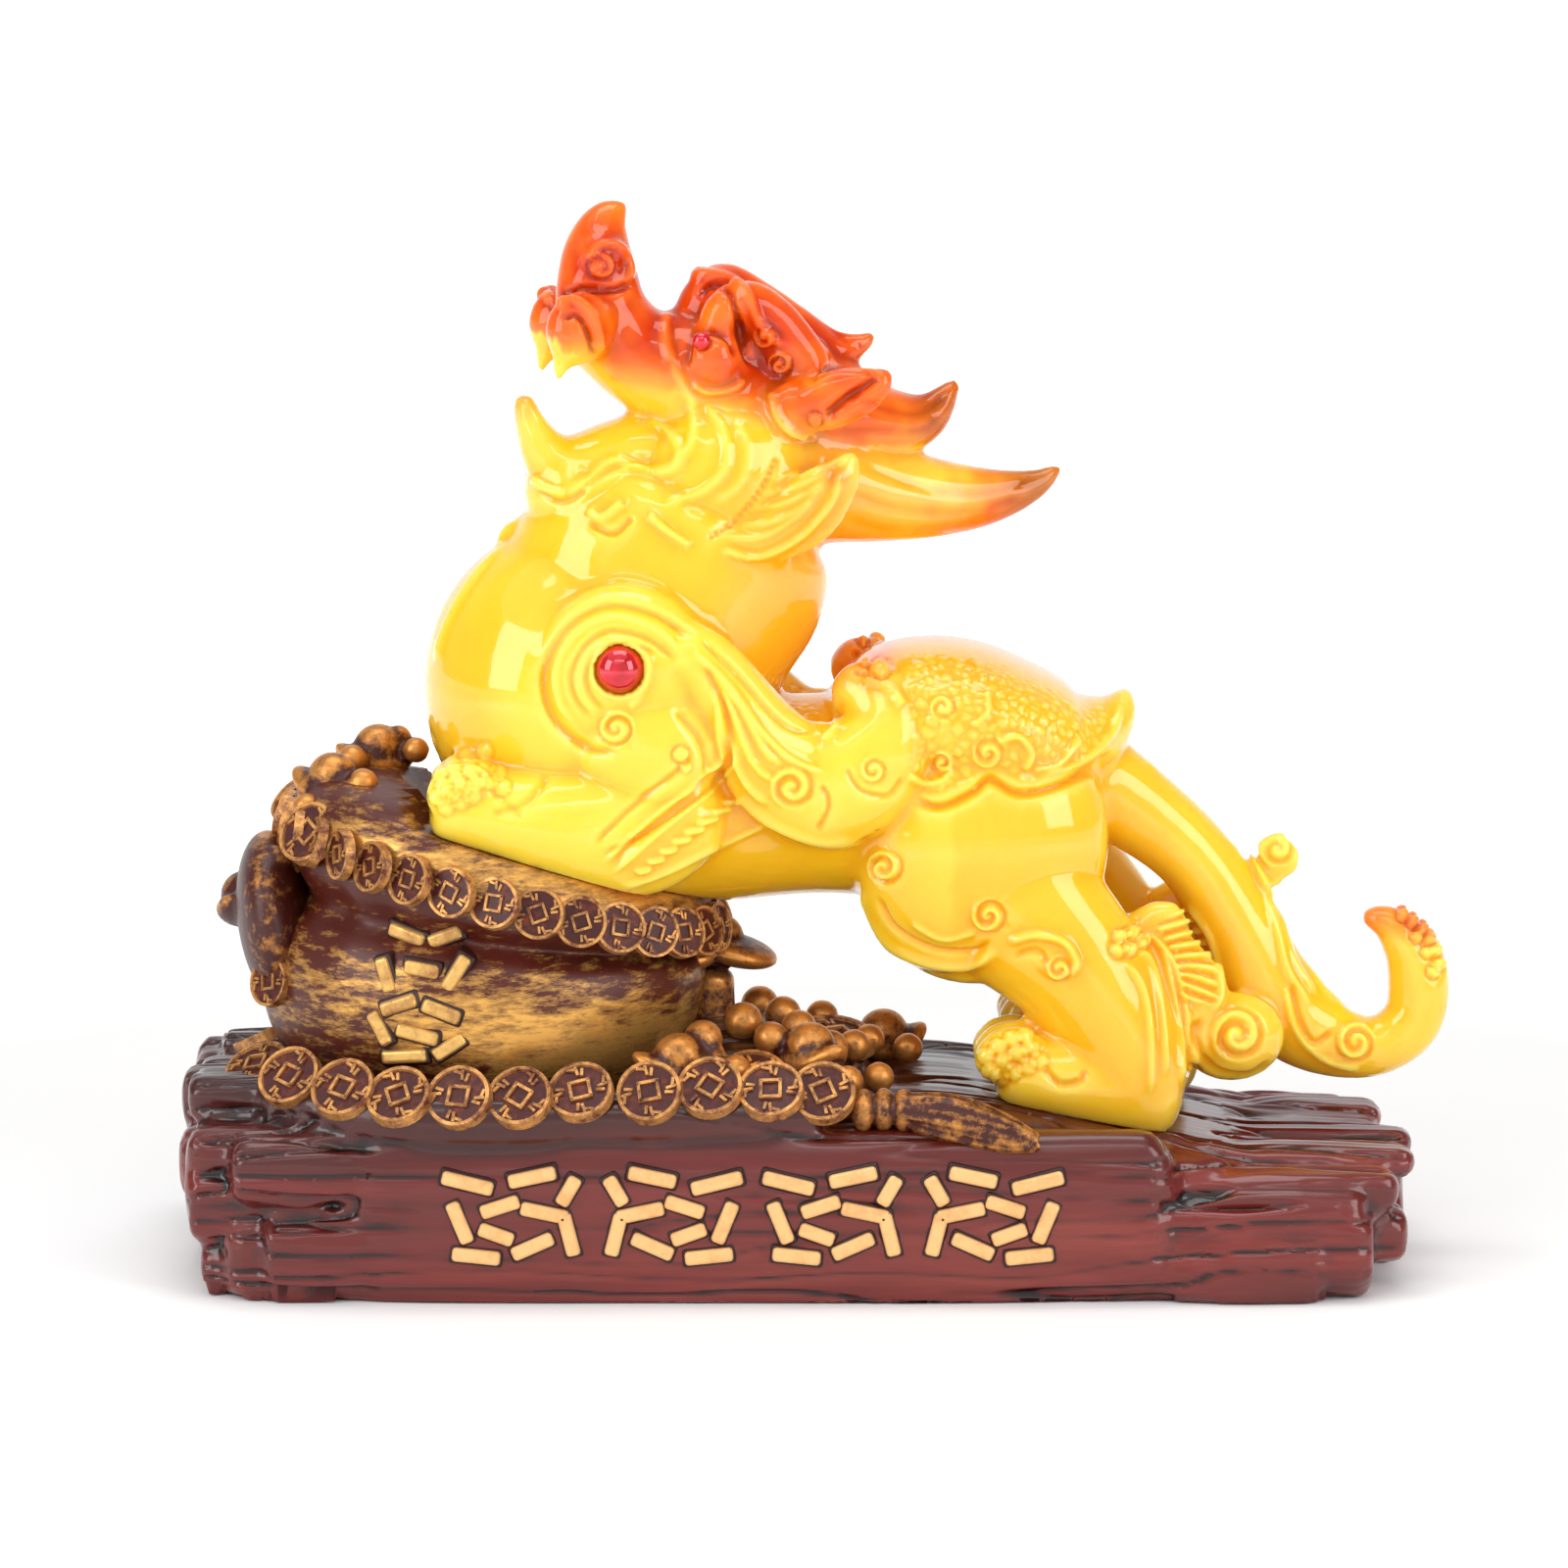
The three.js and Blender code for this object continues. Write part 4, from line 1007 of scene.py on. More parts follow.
# %% Split slabs and the coins' mound
# A slab is a run of x, y, z, half height and half width that thins towards the middle.
slabs = [
    [(-139, -53, 33, 8, 7), (-116, -55, 33, 8, 6), (-84, -53, 34, 3, 3)],
    [(-131, -54, 12, 10, 7), (-108, -55, 13, 9, 6), (-80, -53, 14, 4, 3)],
    [(-151, -42, 34, 8, 9), (-120, -46, 34, 8, 9), (-96, -48, 34, 4, 5)],
    [(-150, -44, 20, 7, 9), (-118, -48, 20, 7, 8)],
    [(-147, -40, 7, 6, 11), (-112, -46, 8, 6, 10)],
    [(-155, -22, 28, 9, 9), (-118, -24, 29, 9, 10)],
    [(-156, -6, 41, 8, 8), (-112, -6, 42, 8, 10)],
    [(-153, -4, 14, 11, 10), (-112, -4, 14, 11, 10)],
    [(-152, -24, 46, 6, 9), (-118, -27, 46, 7, 12)],
    [(133, -53, 8, 7, 7), (108, -55, 8, 8, 6), (76, -53, 7, 4, 3)],
    [(143, -49, 21, 6, 7), (112, -54, 21, 6, 6), (80, -53, 22, 3, 3)],
    [(152, -43, 26, 5, 8), (118, -48, 27, 5, 7), (92, -46, 26, 3, 5)],
    [(155, -36, 13, 7, 9), (110, -40, 14, 8, 10)],
    [(156, -16, 24, 7, 8), (112, -16, 25, 8, 9)],
    [(158, -26, 29, 4, 8), (126, -27, 30, 4, 9), (100, -28, 30, 3, 7)],
    [(153, 2, 9, 8, 9), (112, 2, 10, 9, 9)],
    [(160, 0, 28, 4, 9), (128, 0, 29, 4, 10), (100, 0, 30, 3, 8)],
]
print("the wood's top is at", [round(seat_top(x), 1) for x in (84, 100, 112, 126, 140, 155)])
for run in slabs:
    for side in SIDES:
        reach = 1 if side < 0 else 0.98
        slab = [(x * reach, -side * y, *rest) for x, y, *rest in run]
        roll(wood, slab, blunt=0.06, squareness=3.2, sides=20, rings=24)
mound = [
    (-136, 0.12), (-135, -0.38), (-125, -0.7), (-111, -0.86), (-97, -0.93), (-82, -0.95), (-67, -0.95),
    (-52, -0.92), (-35, -0.93), (-20, -0.91), (-5, -0.9), (8, -0.86),
]
roll(
    wood, [(x * 0.98, half_depth * (across + 0.06), base_height - 1, 7, 8) for x, across in mound],
    blunt=0.05, rings=80,
)
ball(wood, (-13, -4, base_height + 2), (33, 42, 13))
for vert in wood.verts:
    vert.co *= MM
base = new_piece("log_base", wood)
press(base, voxel=1.5, smoothing=1)
press(base, voxel=1.0, smoothing=1)

# %% [markdown]
# ## The grain
#
# Wood splits along its grain, so the grain is a noise that is stretched far along the logs.
# Where the noise crosses zero runs a furrow, which is pushed into the skin. The front is
# calmer, for the strokes stand on it, and the seat under the hind feet stays clear.

# %% Furrows and seat


def grain(point):
    """Furrows along the logs, deep here and shallow there, in millimetres."""
    x, y, z = point
    bend = 2.2 * noise.noise((x / 60, y / 30, z / 30))
    split = noise.noise((x / 120, (y + bend) / 7.5, (z + bend) / 6.5))
    fine = noise.noise((x / 60 + 9, (y + bend) / 2.6, (z + bend) / 2.3))
    depth = 0.5 + 0.5 * noise.noise((x / 45 + 4, y / 40, z / 25))
    furrow = 1 - min(1.0, abs(split) * 6)
    return -(3.6 * depth * furrow**1.6) + 0.5 * fine


base_points = points_of(base) / MM
base_normals = normals_of(base)
panel = fade(-base_points[:, 1], half_depth - 6, half_depth - 2) * fade(base_points[:, 2], 2, 8)
panel *= fade(base_points[:, 0], -100, -88) * (1 - fade(base_points[:, 0], 82, 94))
furrows = np.array([grain(point) for point in base_points])
furrows *= (1 - 0.7 * panel) * (1 - base_normals[:, 0] ** 2)
base_points += base_normals * furrows[:, None]
under = base_normals[:, 2] < -0.8
base_points[under & (base_points[:, 2] < 4), 2] = 0
base_points[:, 2] = np.maximum(base_points[:, 2], 0)
seat_gap = 0.3
under_hind = (base_points[:, 0] > 30) & (base_points[:, 0] < 112) & (np.abs(base_points[:, 1]) < 47)
ceiling = hind_level(base_points[:, 0]) + rise - seat_gap
base_points[under_hind, 2] = np.minimum(base_points[under_hind, 2], ceiling[under_hind])
move_points(base, base_points * MM)
thin_out(base, 190000)
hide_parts("treasure_base")

# %% [markdown]
# ## The treasure bowl
#
# The bowl is turned: a profile spun round its axis, like a pot on a wheel. Its collar leans
# towards the beast's belly, so each point is then moved by how high it stands.

# %% Bowl
bowl_radius = 57.0
rim_tilt = math.tan(math.radians(17))
bowl_x = -79.0
rim_shift = 7.0
bowl_flat = 0.93
bowl_height = fore_level(bowl_x + rim_shift) + rise - base_height + 2


def on_bowl(angle, share, level_share):
    """A point of the bowl's skin, in millimetres, from its angle, width and level."""
    x = math.cos(angle) * bowl_radius * share
    y = math.sin(angle) * bowl_radius * share * bowl_flat
    t = min(1, max(0, (level_share - 0.3) / 0.7))
    lean = t * t * (3 - 2 * t)
    z = base_height + level_share * bowl_height - rim_tilt * x * lean
    return Vector((x + rim_shift * lean + bowl_x, y, z))


pot = bmesh.new()
profile = [
    (0, -0.2), (0.62, -0.2), (0.8, -0.04), (0.9, 0.1), (0.97, 0.24), (1.0, 0.38), (0.99, 0.48),
    (0.95, 0.56), (0.88, 0.61), (0.86, 0.64), (0.9, 0.68), (0.94, 0.72), (0.955, 0.8), (0.94, 0.88),
    (0.9, 0.94), (0.8, 1.0), (0.5, 1.06), (0, 1.1),
]
steps = np.linspace(0, 1, 70)
smooth_profile = smooth_line([(share, level) for share, level in profile], steps)
rail = [pot.verts.new((share, 0, level)) for share, level in smooth_profile]
edges = [pot.edges.new(pair) for pair in zip(rail, rail[1:])]
bmesh.ops.spin(
    pot, geom=rail + edges, cent=(0, 0, 0), axis=(0, 0, 1), angle=math.tau, steps=160, use_merge=True
)
bmesh.ops.remove_doubles(pot, verts=pot.verts, dist=1e-5)
for vert in pot.verts:
    share = math.hypot(vert.co.x, vert.co.y)
    angle = math.atan2(vert.co.y, vert.co.x)
    level = vert.co.z
    spot = on_bowl(angle, share, level)
    # Soft creases gather the bowl's neck, and the brushed skin is a little uneven.
    folds = math.sin(angle * 13 + 2 * math.sin(angle * 3))
    gathered = math.exp(-(((level - 0.64) / 0.12) ** 2)) * 0.9 * folds
    uneven = 0.5 * noise.noise(spot / 16) + 0.16 * noise.noise(spot / 4)
    out = Vector((math.cos(angle), math.sin(angle), 0))
    vert.co = (spot + out * (gathered * share + uneven)) * MM
bmesh.ops.recalc_face_normals(pot, faces=pot.faces)
bowl_points = [vert for vert in pot.verts if vert.co.x > -94 * MM and abs(vert.co.y) < 47.5 * MM]
for vert in bowl_points:
    vert.co.z = min(vert.co.z, (fore_level(vert.co.x / MM) + rise - seat_gap) * MM)
bowl = new_piece("treasure_bowl", pot)
thin_out(bowl, 60000)
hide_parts("treasure_base")

# %% [markdown]
# ## Coins
#
# One coin is made well and then copied: a short cylinder whose face is inset twice to raise
# the rim and sink the field, a raised square round the middle, and small plain strokes on
# the field. Its two finishes go by face.

# %% One coin
FIELD = 1
coin_radius, coin_thickness = 8.3, 3.0
collar_coin_radius, coin_pitch = 6.6, 10.6


def add_bar(coin, x, y, length, width, turn, floor, top):
    """A small gilt bar that stands on a coin's field."""
    shape = Matrix.Translation((x, y, (floor + top) / 2)) @ Matrix.Rotation(math.radians(turn), 4, "Z")
    shape = shape @ Matrix.Diagonal((length, width, top - floor, 1))
    bmesh.ops.create_cube(coin, size=1, matrix=shape)


def model_coin():
    """A coin at the origin: a raised rim, a square in the middle and four groups of strokes."""
    coin = bmesh.new()
    bmesh.ops.create_cone(
        coin, cap_ends=True, segments=30, radius1=coin_radius, radius2=coin_radius * 0.97,
        depth=coin_thickness,
    )
    top = max(coin.faces, key=lambda face: face.calc_center_median().z)
    bmesh.ops.inset_region(coin, faces=[top], thickness=coin_radius * 0.11, depth=0)
    bmesh.ops.inset_region(coin, faces=[top], thickness=0.25, depth=-0.75)
    top.material_index = FIELD
    floor, high = coin_thickness / 2 - 0.9, coin_thickness / 2 + 0.02
    for turn in (0, 90, 180, 270):
        corner = Matrix.Rotation(math.radians(turn), 3, "Z")
        bar = corner @ Vector((2.4, 0, 0))
        add_bar(coin, bar.x, bar.y, 0.8, 5.4, turn, floor, high)
        for reach, slide, length, lean in [(5.6, 0, 2.6, 8), (5.0, -1.3, 2.2, -12), (6.2, 1.3, 2.2, 78)]:
            bar = corner @ Vector((reach, slide, 0))
            add_bar(coin, bar.x, bar.y, length, 0.75, turn + lean, floor, high - 0.15)
    return coin


def place_coin(clay, centre, facing, radius=coin_radius, turn=0.0):
    """Puts a copy of the coin in its place, with its face towards a direction."""
    aim = Vector(facing).normalized().to_track_quat("Z", "Y").to_matrix().to_4x4()
    shape = Matrix.Scale(MM, 4) @ Matrix.Translation(centre) @ aim @ Matrix.Rotation(turn, 4, "Z")
    add_lump(clay, coin_model.copy(), shape @ Matrix.Scale(radius / coin_radius, 4))


coin_model = model_coin()
print("one coin has", len(coin_model.faces), "faces")

# %% The two strings of coins
string = bmesh.new()
shingle = 0.3
collar_share = 0.95
collar_count = round(math.tau * bowl_radius * collar_share / coin_pitch)
for i in range(collar_count):
    angle = i / collar_count * math.tau
    wobble = 0.22 + 0.12 * math.sin(i * 2.4)
    facing = (math.cos(angle - shingle), math.sin(angle - shingle), wobble)
    spot = on_bowl(angle, collar_share + 0.02, 0.81)
    place_coin(string, spot, facing, radius=collar_coin_radius, turn=0.4 * math.sin(i * 1.3))
hanging = [
    (188, 0.96, 0.7), (194, 1.0, 0.6), (200, 1.02, 0.5), (206, 1.03, 0.41), (191, 1.0, 0.65),
    (197, 1.02, 0.55),
]
for degrees, share, level in hanging:
    angle = math.radians(degrees)
    facing = (math.cos(angle), math.sin(angle) - 0.5, 0.3)
    place_coin(string, on_bowl(angle, share, level), facing, radius=collar_coin_radius, turn=degrees)
foot_levels = [5, 4, 5, 4, 3, 3, 3, 4, 4, 5, 4, 3]
for i, ((x, across), up) in enumerate(zip(mound, foot_levels)):
    facing = (0.3 * (x - bowl_x) / half_length - 0.25, across, 0.8 + 0.15 * math.sin(i * 2.1))
    spot = (x, half_depth * across - 1, base_height + up + 2.2)
    place_coin(string, spot, facing, turn=0.5 * math.sin(i * 1.9))
ground = base_height
mouth = ground + bowl_height
place_coin(string, (-126, 8, mouth + 4), (-1, -0.8, 1.4))
place_coin(string, (-121, -26, mouth + 1), (-1, -1.4, 1), turn=1)
place_coin(string, (-9, -41, ground + 7), (0.2, -1.2, 2), turn=2)
place_coin(string, (12, -8, ground + 10), (0.3, -0.5, 2), radius=10)
coins = new_piece("coin_strings", string)
print("coins have", len(coins.data.polygons), "faces")
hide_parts("treasure_base")

# %% [markdown]
# ## Ingots, pearls, cloth, stalk and tassel
#
# The rest of the treasure is modelled with the same rolls and balls of clay, and each heap is
# pressed into one skin of its own.

# %% Ingots and pearls
hoard = bmesh.new()


def skinned(name, clay, voxel, smoothing, triangles):
    """Turns clay in millimetres into one piece with one skin, as a part of the base."""
    for vert in clay.verts:
        vert.co *= MM
    piece = new_piece(name, clay)
    press(piece, voxel, smoothing)
    thin_out(piece, triangles)
    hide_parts("treasure_base")
    return piece


def model_ingot(clay, centre, turn):
    """A boat-shaped ingot with its round crown."""
    boat = bmesh.new()
    ball(boat, (0, 0, 0), (12, 7, 4.5))
    for vert in boat.verts:
        vert.co.z += 0.035 * vert.co.x**2
    ball(boat, (0, 0, 4), (6.5, 6.2, 6.2))
    add_lump(clay, boat, Matrix.Translation(centre) @ Matrix.Rotation(math.radians(turn), 4, "Z"))


for centre, turn in [
    ((-106, 12, mouth + 13), 30), ((-116, -10, mouth + 9), -30), ((-140, 4, ground + 41), 80),
    ((-28, -45, ground + 8.5), 15), ((5, -34, ground + 9), -50), ((24, 14, ground + 3), 20),
]:
    model_ingot(hoard, centre, turn)
pearls = [
    (-112, 4, mouth + 15, 4), (-101, 14, mouth + 19, 3.6), (-122, -18, mouth + 6, 4),
    (-108, -16, mouth + 12, 4), (-130, -14, mouth - 8, 4), (-120, 18, mouth + 8, 4),
    (-96, 8, mouth + 17, 3.4), (-22, -40, ground + 16, 5), (-14, -46, ground + 9, 4.4),
    (-5, -30, ground + 14, 4.6), (2, -20, ground + 15, 4.6), (-12, -22, ground + 17, 5),
    (10, -26, ground + 11, 4.6), (16, -18, ground + 10, 4.2), (-2, -8, ground + 16, 4.8),
    (8, 4, ground + 13, 4.4), (20, -6, ground + 9, 4.2), (30, -2, ground + 6, 4),
    (14, -44, ground + 6, 4.2), (22, -34, ground + 5, 4), (-8, 10, ground + 15, 5),
    (26, 18, ground + 6, 4.4),
]
for x, y, z, radius in pearls:
    ball(hoard, (x, y, z), (radius, radius, radius), sides=20, rings=14)
ball(hoard, (-131, -4, ground + 40), (10, 24, 23), tip=-8)
ball(hoard, (-8, -16, ground + 9), (7, 7, 7))
heap = skinned("ingots_and_pearls", hoard, 0.9, 1, 60000)

# %% Fungus stalk
stalk_clay = bmesh.new()
roll(stalk_clay, [(-20, 2, ground, 9, 9), (-21, 2, ground + 14, 7, 7), (-20, 2, ground + 27, 5.5, 6)])
ball(stalk_clay, (-15, 2.3, ground + 31), (12, 12, 4), tip=14)
ball(stalk_clay, (-17, 1.6, ground + 34), (5, 5, 6))
ball(stalk_clay, (-26, -4, ground + 30), (8, 9, 3.4), tip=-10)
stalk = skinned("fungus_stalk", stalk_clay, 0.8, 2, 20000)

# %% Tassel
tassel_clay = bmesh.new()
for k, (x, size) in enumerate([(18, 5), (23, 6), (28, 5.4)]):
    ball(tassel_clay, (x, -52 + (k % 2), ground + 0.5), (3.2, size, 5.4))
# A section is x, y, height over the wood, half width, half height and a strand's thickness.
sections = [
    (27, -53, 1, 3.2, 3.4, 0.9), (40, -55, -1, 4.4, 5.2, 1.15), (52, -57, -4.2, 3.6, 4.2, 1.05),
    (61, -59, -6.6, 1.4, 1.7, 0.7),
]
core = [(x, y, ground + z, across * 0.9, up * 0.9) for x, y, z, across, up, thick in sections]
roll(tassel_clay, core, blunt=0.1, sides=20, rings=30)
strands = 9
for k in range(strands):
    run = []
    for x, y, z, across, up, thick in sections:
        turn = math.radians(105 - 185 * k / (strands - 1)) + 0.012 * (x - 27)
        spot = (x + math.sin(k * 2.3), y - across * math.cos(turn), ground + z + up * math.sin(turn))
        run.append((*spot, thick, thick))
    roll(tassel_clay, run, blunt=0.05, sides=14, rings=40)
tassel = skinned("tassel", tassel_clay, 0.5, 1, 30000)

# %% [markdown]
# ## Plain gilt strokes
#
# The front of the wood and the bowl hold groups of plain raised strokes. Each is a bevelled
# bar, and a thin dark border of wider bars lies under it.

# %% Strokes
stroke_relief, stroke_width = 1.4, 3.6


def model_strokes(clay, group, surface, flip, border, relief):
    """A group of bars on a surface. A stroke is across, up, length and turn."""
    sink = 4.0
    for across, up, length, turn in group:
        spot, heading = surface(across * flip, up)
        outward = Vector((math.cos(heading), math.sin(heading), 0))
        made = bmesh.ops.create_cube(clay, size=1)["verts"]
        shape = Matrix.Translation(spot + outward * (relief - sink))
        shape = shape @ Matrix.Rotation(heading + math.pi / 2, 4, "Z")
        shape = shape @ Matrix.Rotation(math.radians(turn * flip), 4, "Y")
        shape = shape @ Matrix.Diagonal((length + border, sink * 2, stroke_width + border, 1))
        bmesh.ops.transform(clay, matrix=shape, verts=made)
        edges = list({edge for vert in made for edge in vert.link_edges})
        bmesh.ops.bevel(
            clay, geom=edges, offset=1.0, offset_type="OFFSET", segments=3, profile=0.5,
            affect="EDGES", material=-1,
        )


front_group = [
    (-11, 8, 13, 14), (5, 9.5, 12, -12), (14, 6, 8, -60), (-13, -2, 11, 68), (-3, 2, 10, -18),
    (8, 0.5, 12, 12), (14, -5, 11, 76), (-4, -5, 9, 20), (5, -8, 11, -24), (-9, -10.5, 12, 6),
]
bowl_group = [
    (-8, 12, 10, 16), (3, 13, 9, -22), (-9, 4, 9, 72), (0, 6, 9, 8), (9, 6, 10, -58), (-4, -2, 10, -20),
    (7, -3, 10, 20), (-9, -8, 9, 60), (1, -9, 11, 12), (9, -12, 9, -34), (-3, -15, 12, -6),
]
group_pitch, group_middle = 39.7, -9.5


def front_surface(middle):
    """The wood's front round a middle, as the place and heading of a point of it."""
    return lambda across, up: (Vector((middle + across, -half_depth, base_height * 0.49 + up)), -math.pi / 2)


def bowl_surface(across, up):
    """The bowl's skin round the middle of its strokes."""
    level = 0.44 + up / bowl_height
    share = np.interp(level, [row[1] for row in profile], [row[0] for row in profile])
    heading = math.radians(255) + across / bowl_radius
    return on_bowl(heading, share, level), heading


def stroke_piece(name, group, surfaces, border=0.0, relief=stroke_relief):
    """One piece of all the bars of a kind; every second group is mirrored."""
    bars = bmesh.new()
    for i, surface in enumerate(surfaces):
        model_strokes(bars, group, surface, -1 if i % 2 else 1, border, relief)
    for vert in bars.verts:
        vert.co *= MM
    return new_piece(name, bars)


front_surfaces = [front_surface(group_middle + group_pitch * (i - 1.5)) for i in range(4)]
front_strokes = stroke_piece("front_strokes", front_group, front_surfaces)
bowl_strokes = stroke_piece("bowl_strokes", bowl_group, [bowl_surface], relief=1.8)
front_border = stroke_piece("front_border", front_group, front_surfaces, border=1.5, relief=0.3)
bowl_border = stroke_piece("bowl_border", bowl_group, [bowl_surface], border=1.5, relief=0.7)
for piece in (front_strokes, bowl_strokes, front_border, bowl_border):
    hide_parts("treasure_base")

# %% [markdown]
# ## Masks
#
# The second pour stains the head: a mask on each point says how much red the amber holds
# there, others where it is deep, pale like butter, or dark at its tips. Masks are point
# attributes, so they stay on the skin wherever the model is used.

# %% Masks on the amber
skin = points_of(beast)
spots = in_photo(folded(skin))
figure = skin / MM
px, py = spots[:, 0], spots[:, 1]
stain_line = [
    (540, 350), (600, 372), (640, 380), (690, 388), (730, 402), (790, 420), (830, 446), (880, 456),
    (940, 462), (1000, 478), (1090, 500),
]
line_y = np.interp(px, *np.array(stain_line, float).T)
head_part = fade(figure[:, 2], 176, 186)
red = fade(line_y - py, -34, 40) * head_part
red = np.maximum(red, 0.95 * fade(px, 880, 1080) * head_part)
lower_horn = (py > 455) & (px > 860) & (py < 570)
red[lower_horn] = np.minimum(red, 0.18 + 0.62 * fade(px, 900, 1060))[lower_horn]
tail_tip = 0.75 * fade(px, 1372, 1384) * fade(984 - py, 0, 46)
knobs = 0.62 * bell(np.hypot(px - 880, py - 678) / 40, 1) * (figure[:, 2] < 178)
fin_tip = 0.55 * bell(np.hypot(px - 852, py - 482) / 16, 1)
tongue = 0.5 * fade(450 - py, 0, 45) * (px < 556) * (py > 380)
for extra in (tail_tip, knobs, fin_tip, tongue):
    red = np.maximum(red, extra)
fangs = np.hypot(px - 548, py - 360) < 24
red[fangs & (py > 345)] *= 0.15
near_fang = (np.abs(px - 574) < 14) & (py > 362) & (py < 392)
red[near_fang] *= 0.3
outer = fade(np.abs(figure[:, 1]), 31, 40) * (1 - fade(figure[:, 2], 178, 190)) * (figure[:, 0] < 40)
depth_glow = fade(figure[:, 0], -30, 10) * fade(figure[:, 2], 130, 170) * (1 - fade(figure[:, 2], 196, 214))
tips = 0.85 * fade(px, 985, 1070) * (py > 455) + 0.75 * fade(px, 900, 975) * (py < 455)
tips = (tips + 0.6 * fade(px, 870, 892) * (py < 372)) * head_part
add_mask(beast, "red", red)
add_mask(beast, "deep", depth_glow)
add_mask(beast, "butter", outer)
add_mask(beast, "tips", tips)
print("masks on", len(skin), "points")

# %% [markdown]
# ## Shader nodes by name
#
# A material is a small graph of nodes. A few helpers keep it readable: an input is set or fed
# by its name, and a colour is written as its hex code.

# %% Node helpers


def tint(code):
    """A colour from its hex code, as Blender's linear light."""
    parts = [int(code[i : i + 2], 16) / 255 for i in (0, 2, 4)]
    return (*[c / 12.92 if c <= 0.04045 else ((c + 0.055) / 1.055) ** 2.4 for c in parts], 1)


def wire(tree, socket, value):
    """Feeds a socket from another node's output, or sets it to a value or a colour's code."""
    if isinstance(value, bpy.types.NodeSocket):
        tree.links.new(value, socket)
    else:
        socket.default_value = tint(value) if isinstance(value, str) else value


def plug(tree, made, **values):
    for name, value in values.items():
        wire(tree, made.inputs[name.replace("_", " ")], value)
    return made


def node(tree, kind, **values):
    """A shader node with some of its inputs set or fed by name."""
    return plug(tree, tree.nodes.new(kind), **values)


def new_material(name, **values):
    material = bpy.data.materials.new(name)
    material.use_nodes = True
    tree = material.node_tree
    return material, tree, plug(tree, tree.nodes["Principled BSDF"], **values)


def mix(tree, factor, a, b):
    """Mixes two colours. Each may be a colour's code or another node's output."""
    made = tree.nodes.new("ShaderNodeMix")
    made.data_type = "RGBA"
    given = {"Factor_Float": factor, "A_Color": a, "B_Color": b}
    for socket in made.inputs:
        if socket.identifier in given:
            wire(tree, socket, given[socket.identifier])
    return next(socket for socket in made.outputs if socket.identifier == "Result_Color")


def arithmetic(tree, operation, a, b, clamp=False):
    made = tree.nodes.new("ShaderNodeMath")
    made.operation = operation
    made.use_clamp = clamp
    wire(tree, made.inputs[0], a)
    wire(tree, made.inputs[1], b)
    return made.outputs[0]


def scaled(tree, value, factor):
    return arithmetic(tree, "MULTIPLY", value, factor, clamp=True)


def spread(tree, value, start, end, low=0.0, high=1.0):
    """Stretches a value from one range to another."""
    return node(
        tree, "ShaderNodeMapRange", Value=value, From_Min=start, From_Max=end, To_Min=low, To_Max=high
    ).outputs[0]


def attribute(tree, name):
    made = tree.nodes.new("ShaderNodeAttribute")
    made.attribute_name = name
    return made.outputs["Fac"]


def part_of(tree, coordinates, axis):
    """One axis of a kind of coordinates."""
    where = tree.nodes.new("ShaderNodeTexCoord")
    return node(tree, "ShaderNodeSeparateXYZ", Vector=where.outputs[coordinates]).outputs[axis]


def object_noise(tree, scale, stretch=(1, 1, 1), detail=4, roughness=0.5):
    """A noise on Object coordinates, stretched along the axes."""
    where = tree.nodes.new("ShaderNodeTexCoord").outputs["Object"]
    place = node(tree, "ShaderNodeMapping", Vector=where, Scale=stretch).outputs[0]
    made = node(tree, "ShaderNodeTexNoise", Vector=place, Scale=scale, Detail=detail, Roughness=roughness)
    return made.outputs["Fac"]


def ramp(tree, value, *stops):
    """A colour ramp whose stops are a position and a colour's code."""
    made = node(tree, "ShaderNodeValToRGB", Fac=value)
    while len(made.color_ramp.elements) < len(stops):
        made.color_ramp.elements.new(0.5)
    for element, (position, code) in zip(made.color_ramp.elements, stops):
        element.position = position
        element.color = tint(code)
    return made.outputs["Color"]


def node_group(name, inputs, outputs):
    """An empty shader node group, its inputs and its outputs."""
    tree = bpy.data.node_groups.new(name, "ShaderNodeTree")
    for in_out, sockets in (("INPUT", inputs), ("OUTPUT", outputs)):
        for label, kind in sockets.items():
            tree.interface.new_socket(label, in_out=in_out, socket_type="NodeSocket" + kind)
    return tree, tree.nodes.new("NodeGroupInput").outputs, tree.nodes.new("NodeGroupOutput").inputs


def grouped(tree, group, **values):
    made = tree.nodes.new("ShaderNodeGroup")
    made.node_tree = group
    return plug(tree, made, **values).outputs


# %% [markdown]
# ## Amber and ruby
#
# Milky resin lets light in and scatters it, so the amber has subsurface scattering under a
# polished skin. Its colour is a node group that reads the masks: cloudy yellow, a painted
# highlight on the raised edges, painted shade in the creases, and red where the second pour
# ran. The milky body and the clearer head share it, and differ in how far light goes into them.

# %% Amber
MASKS = ("red", "deep", "butter", "tips", "raised", "sunk")


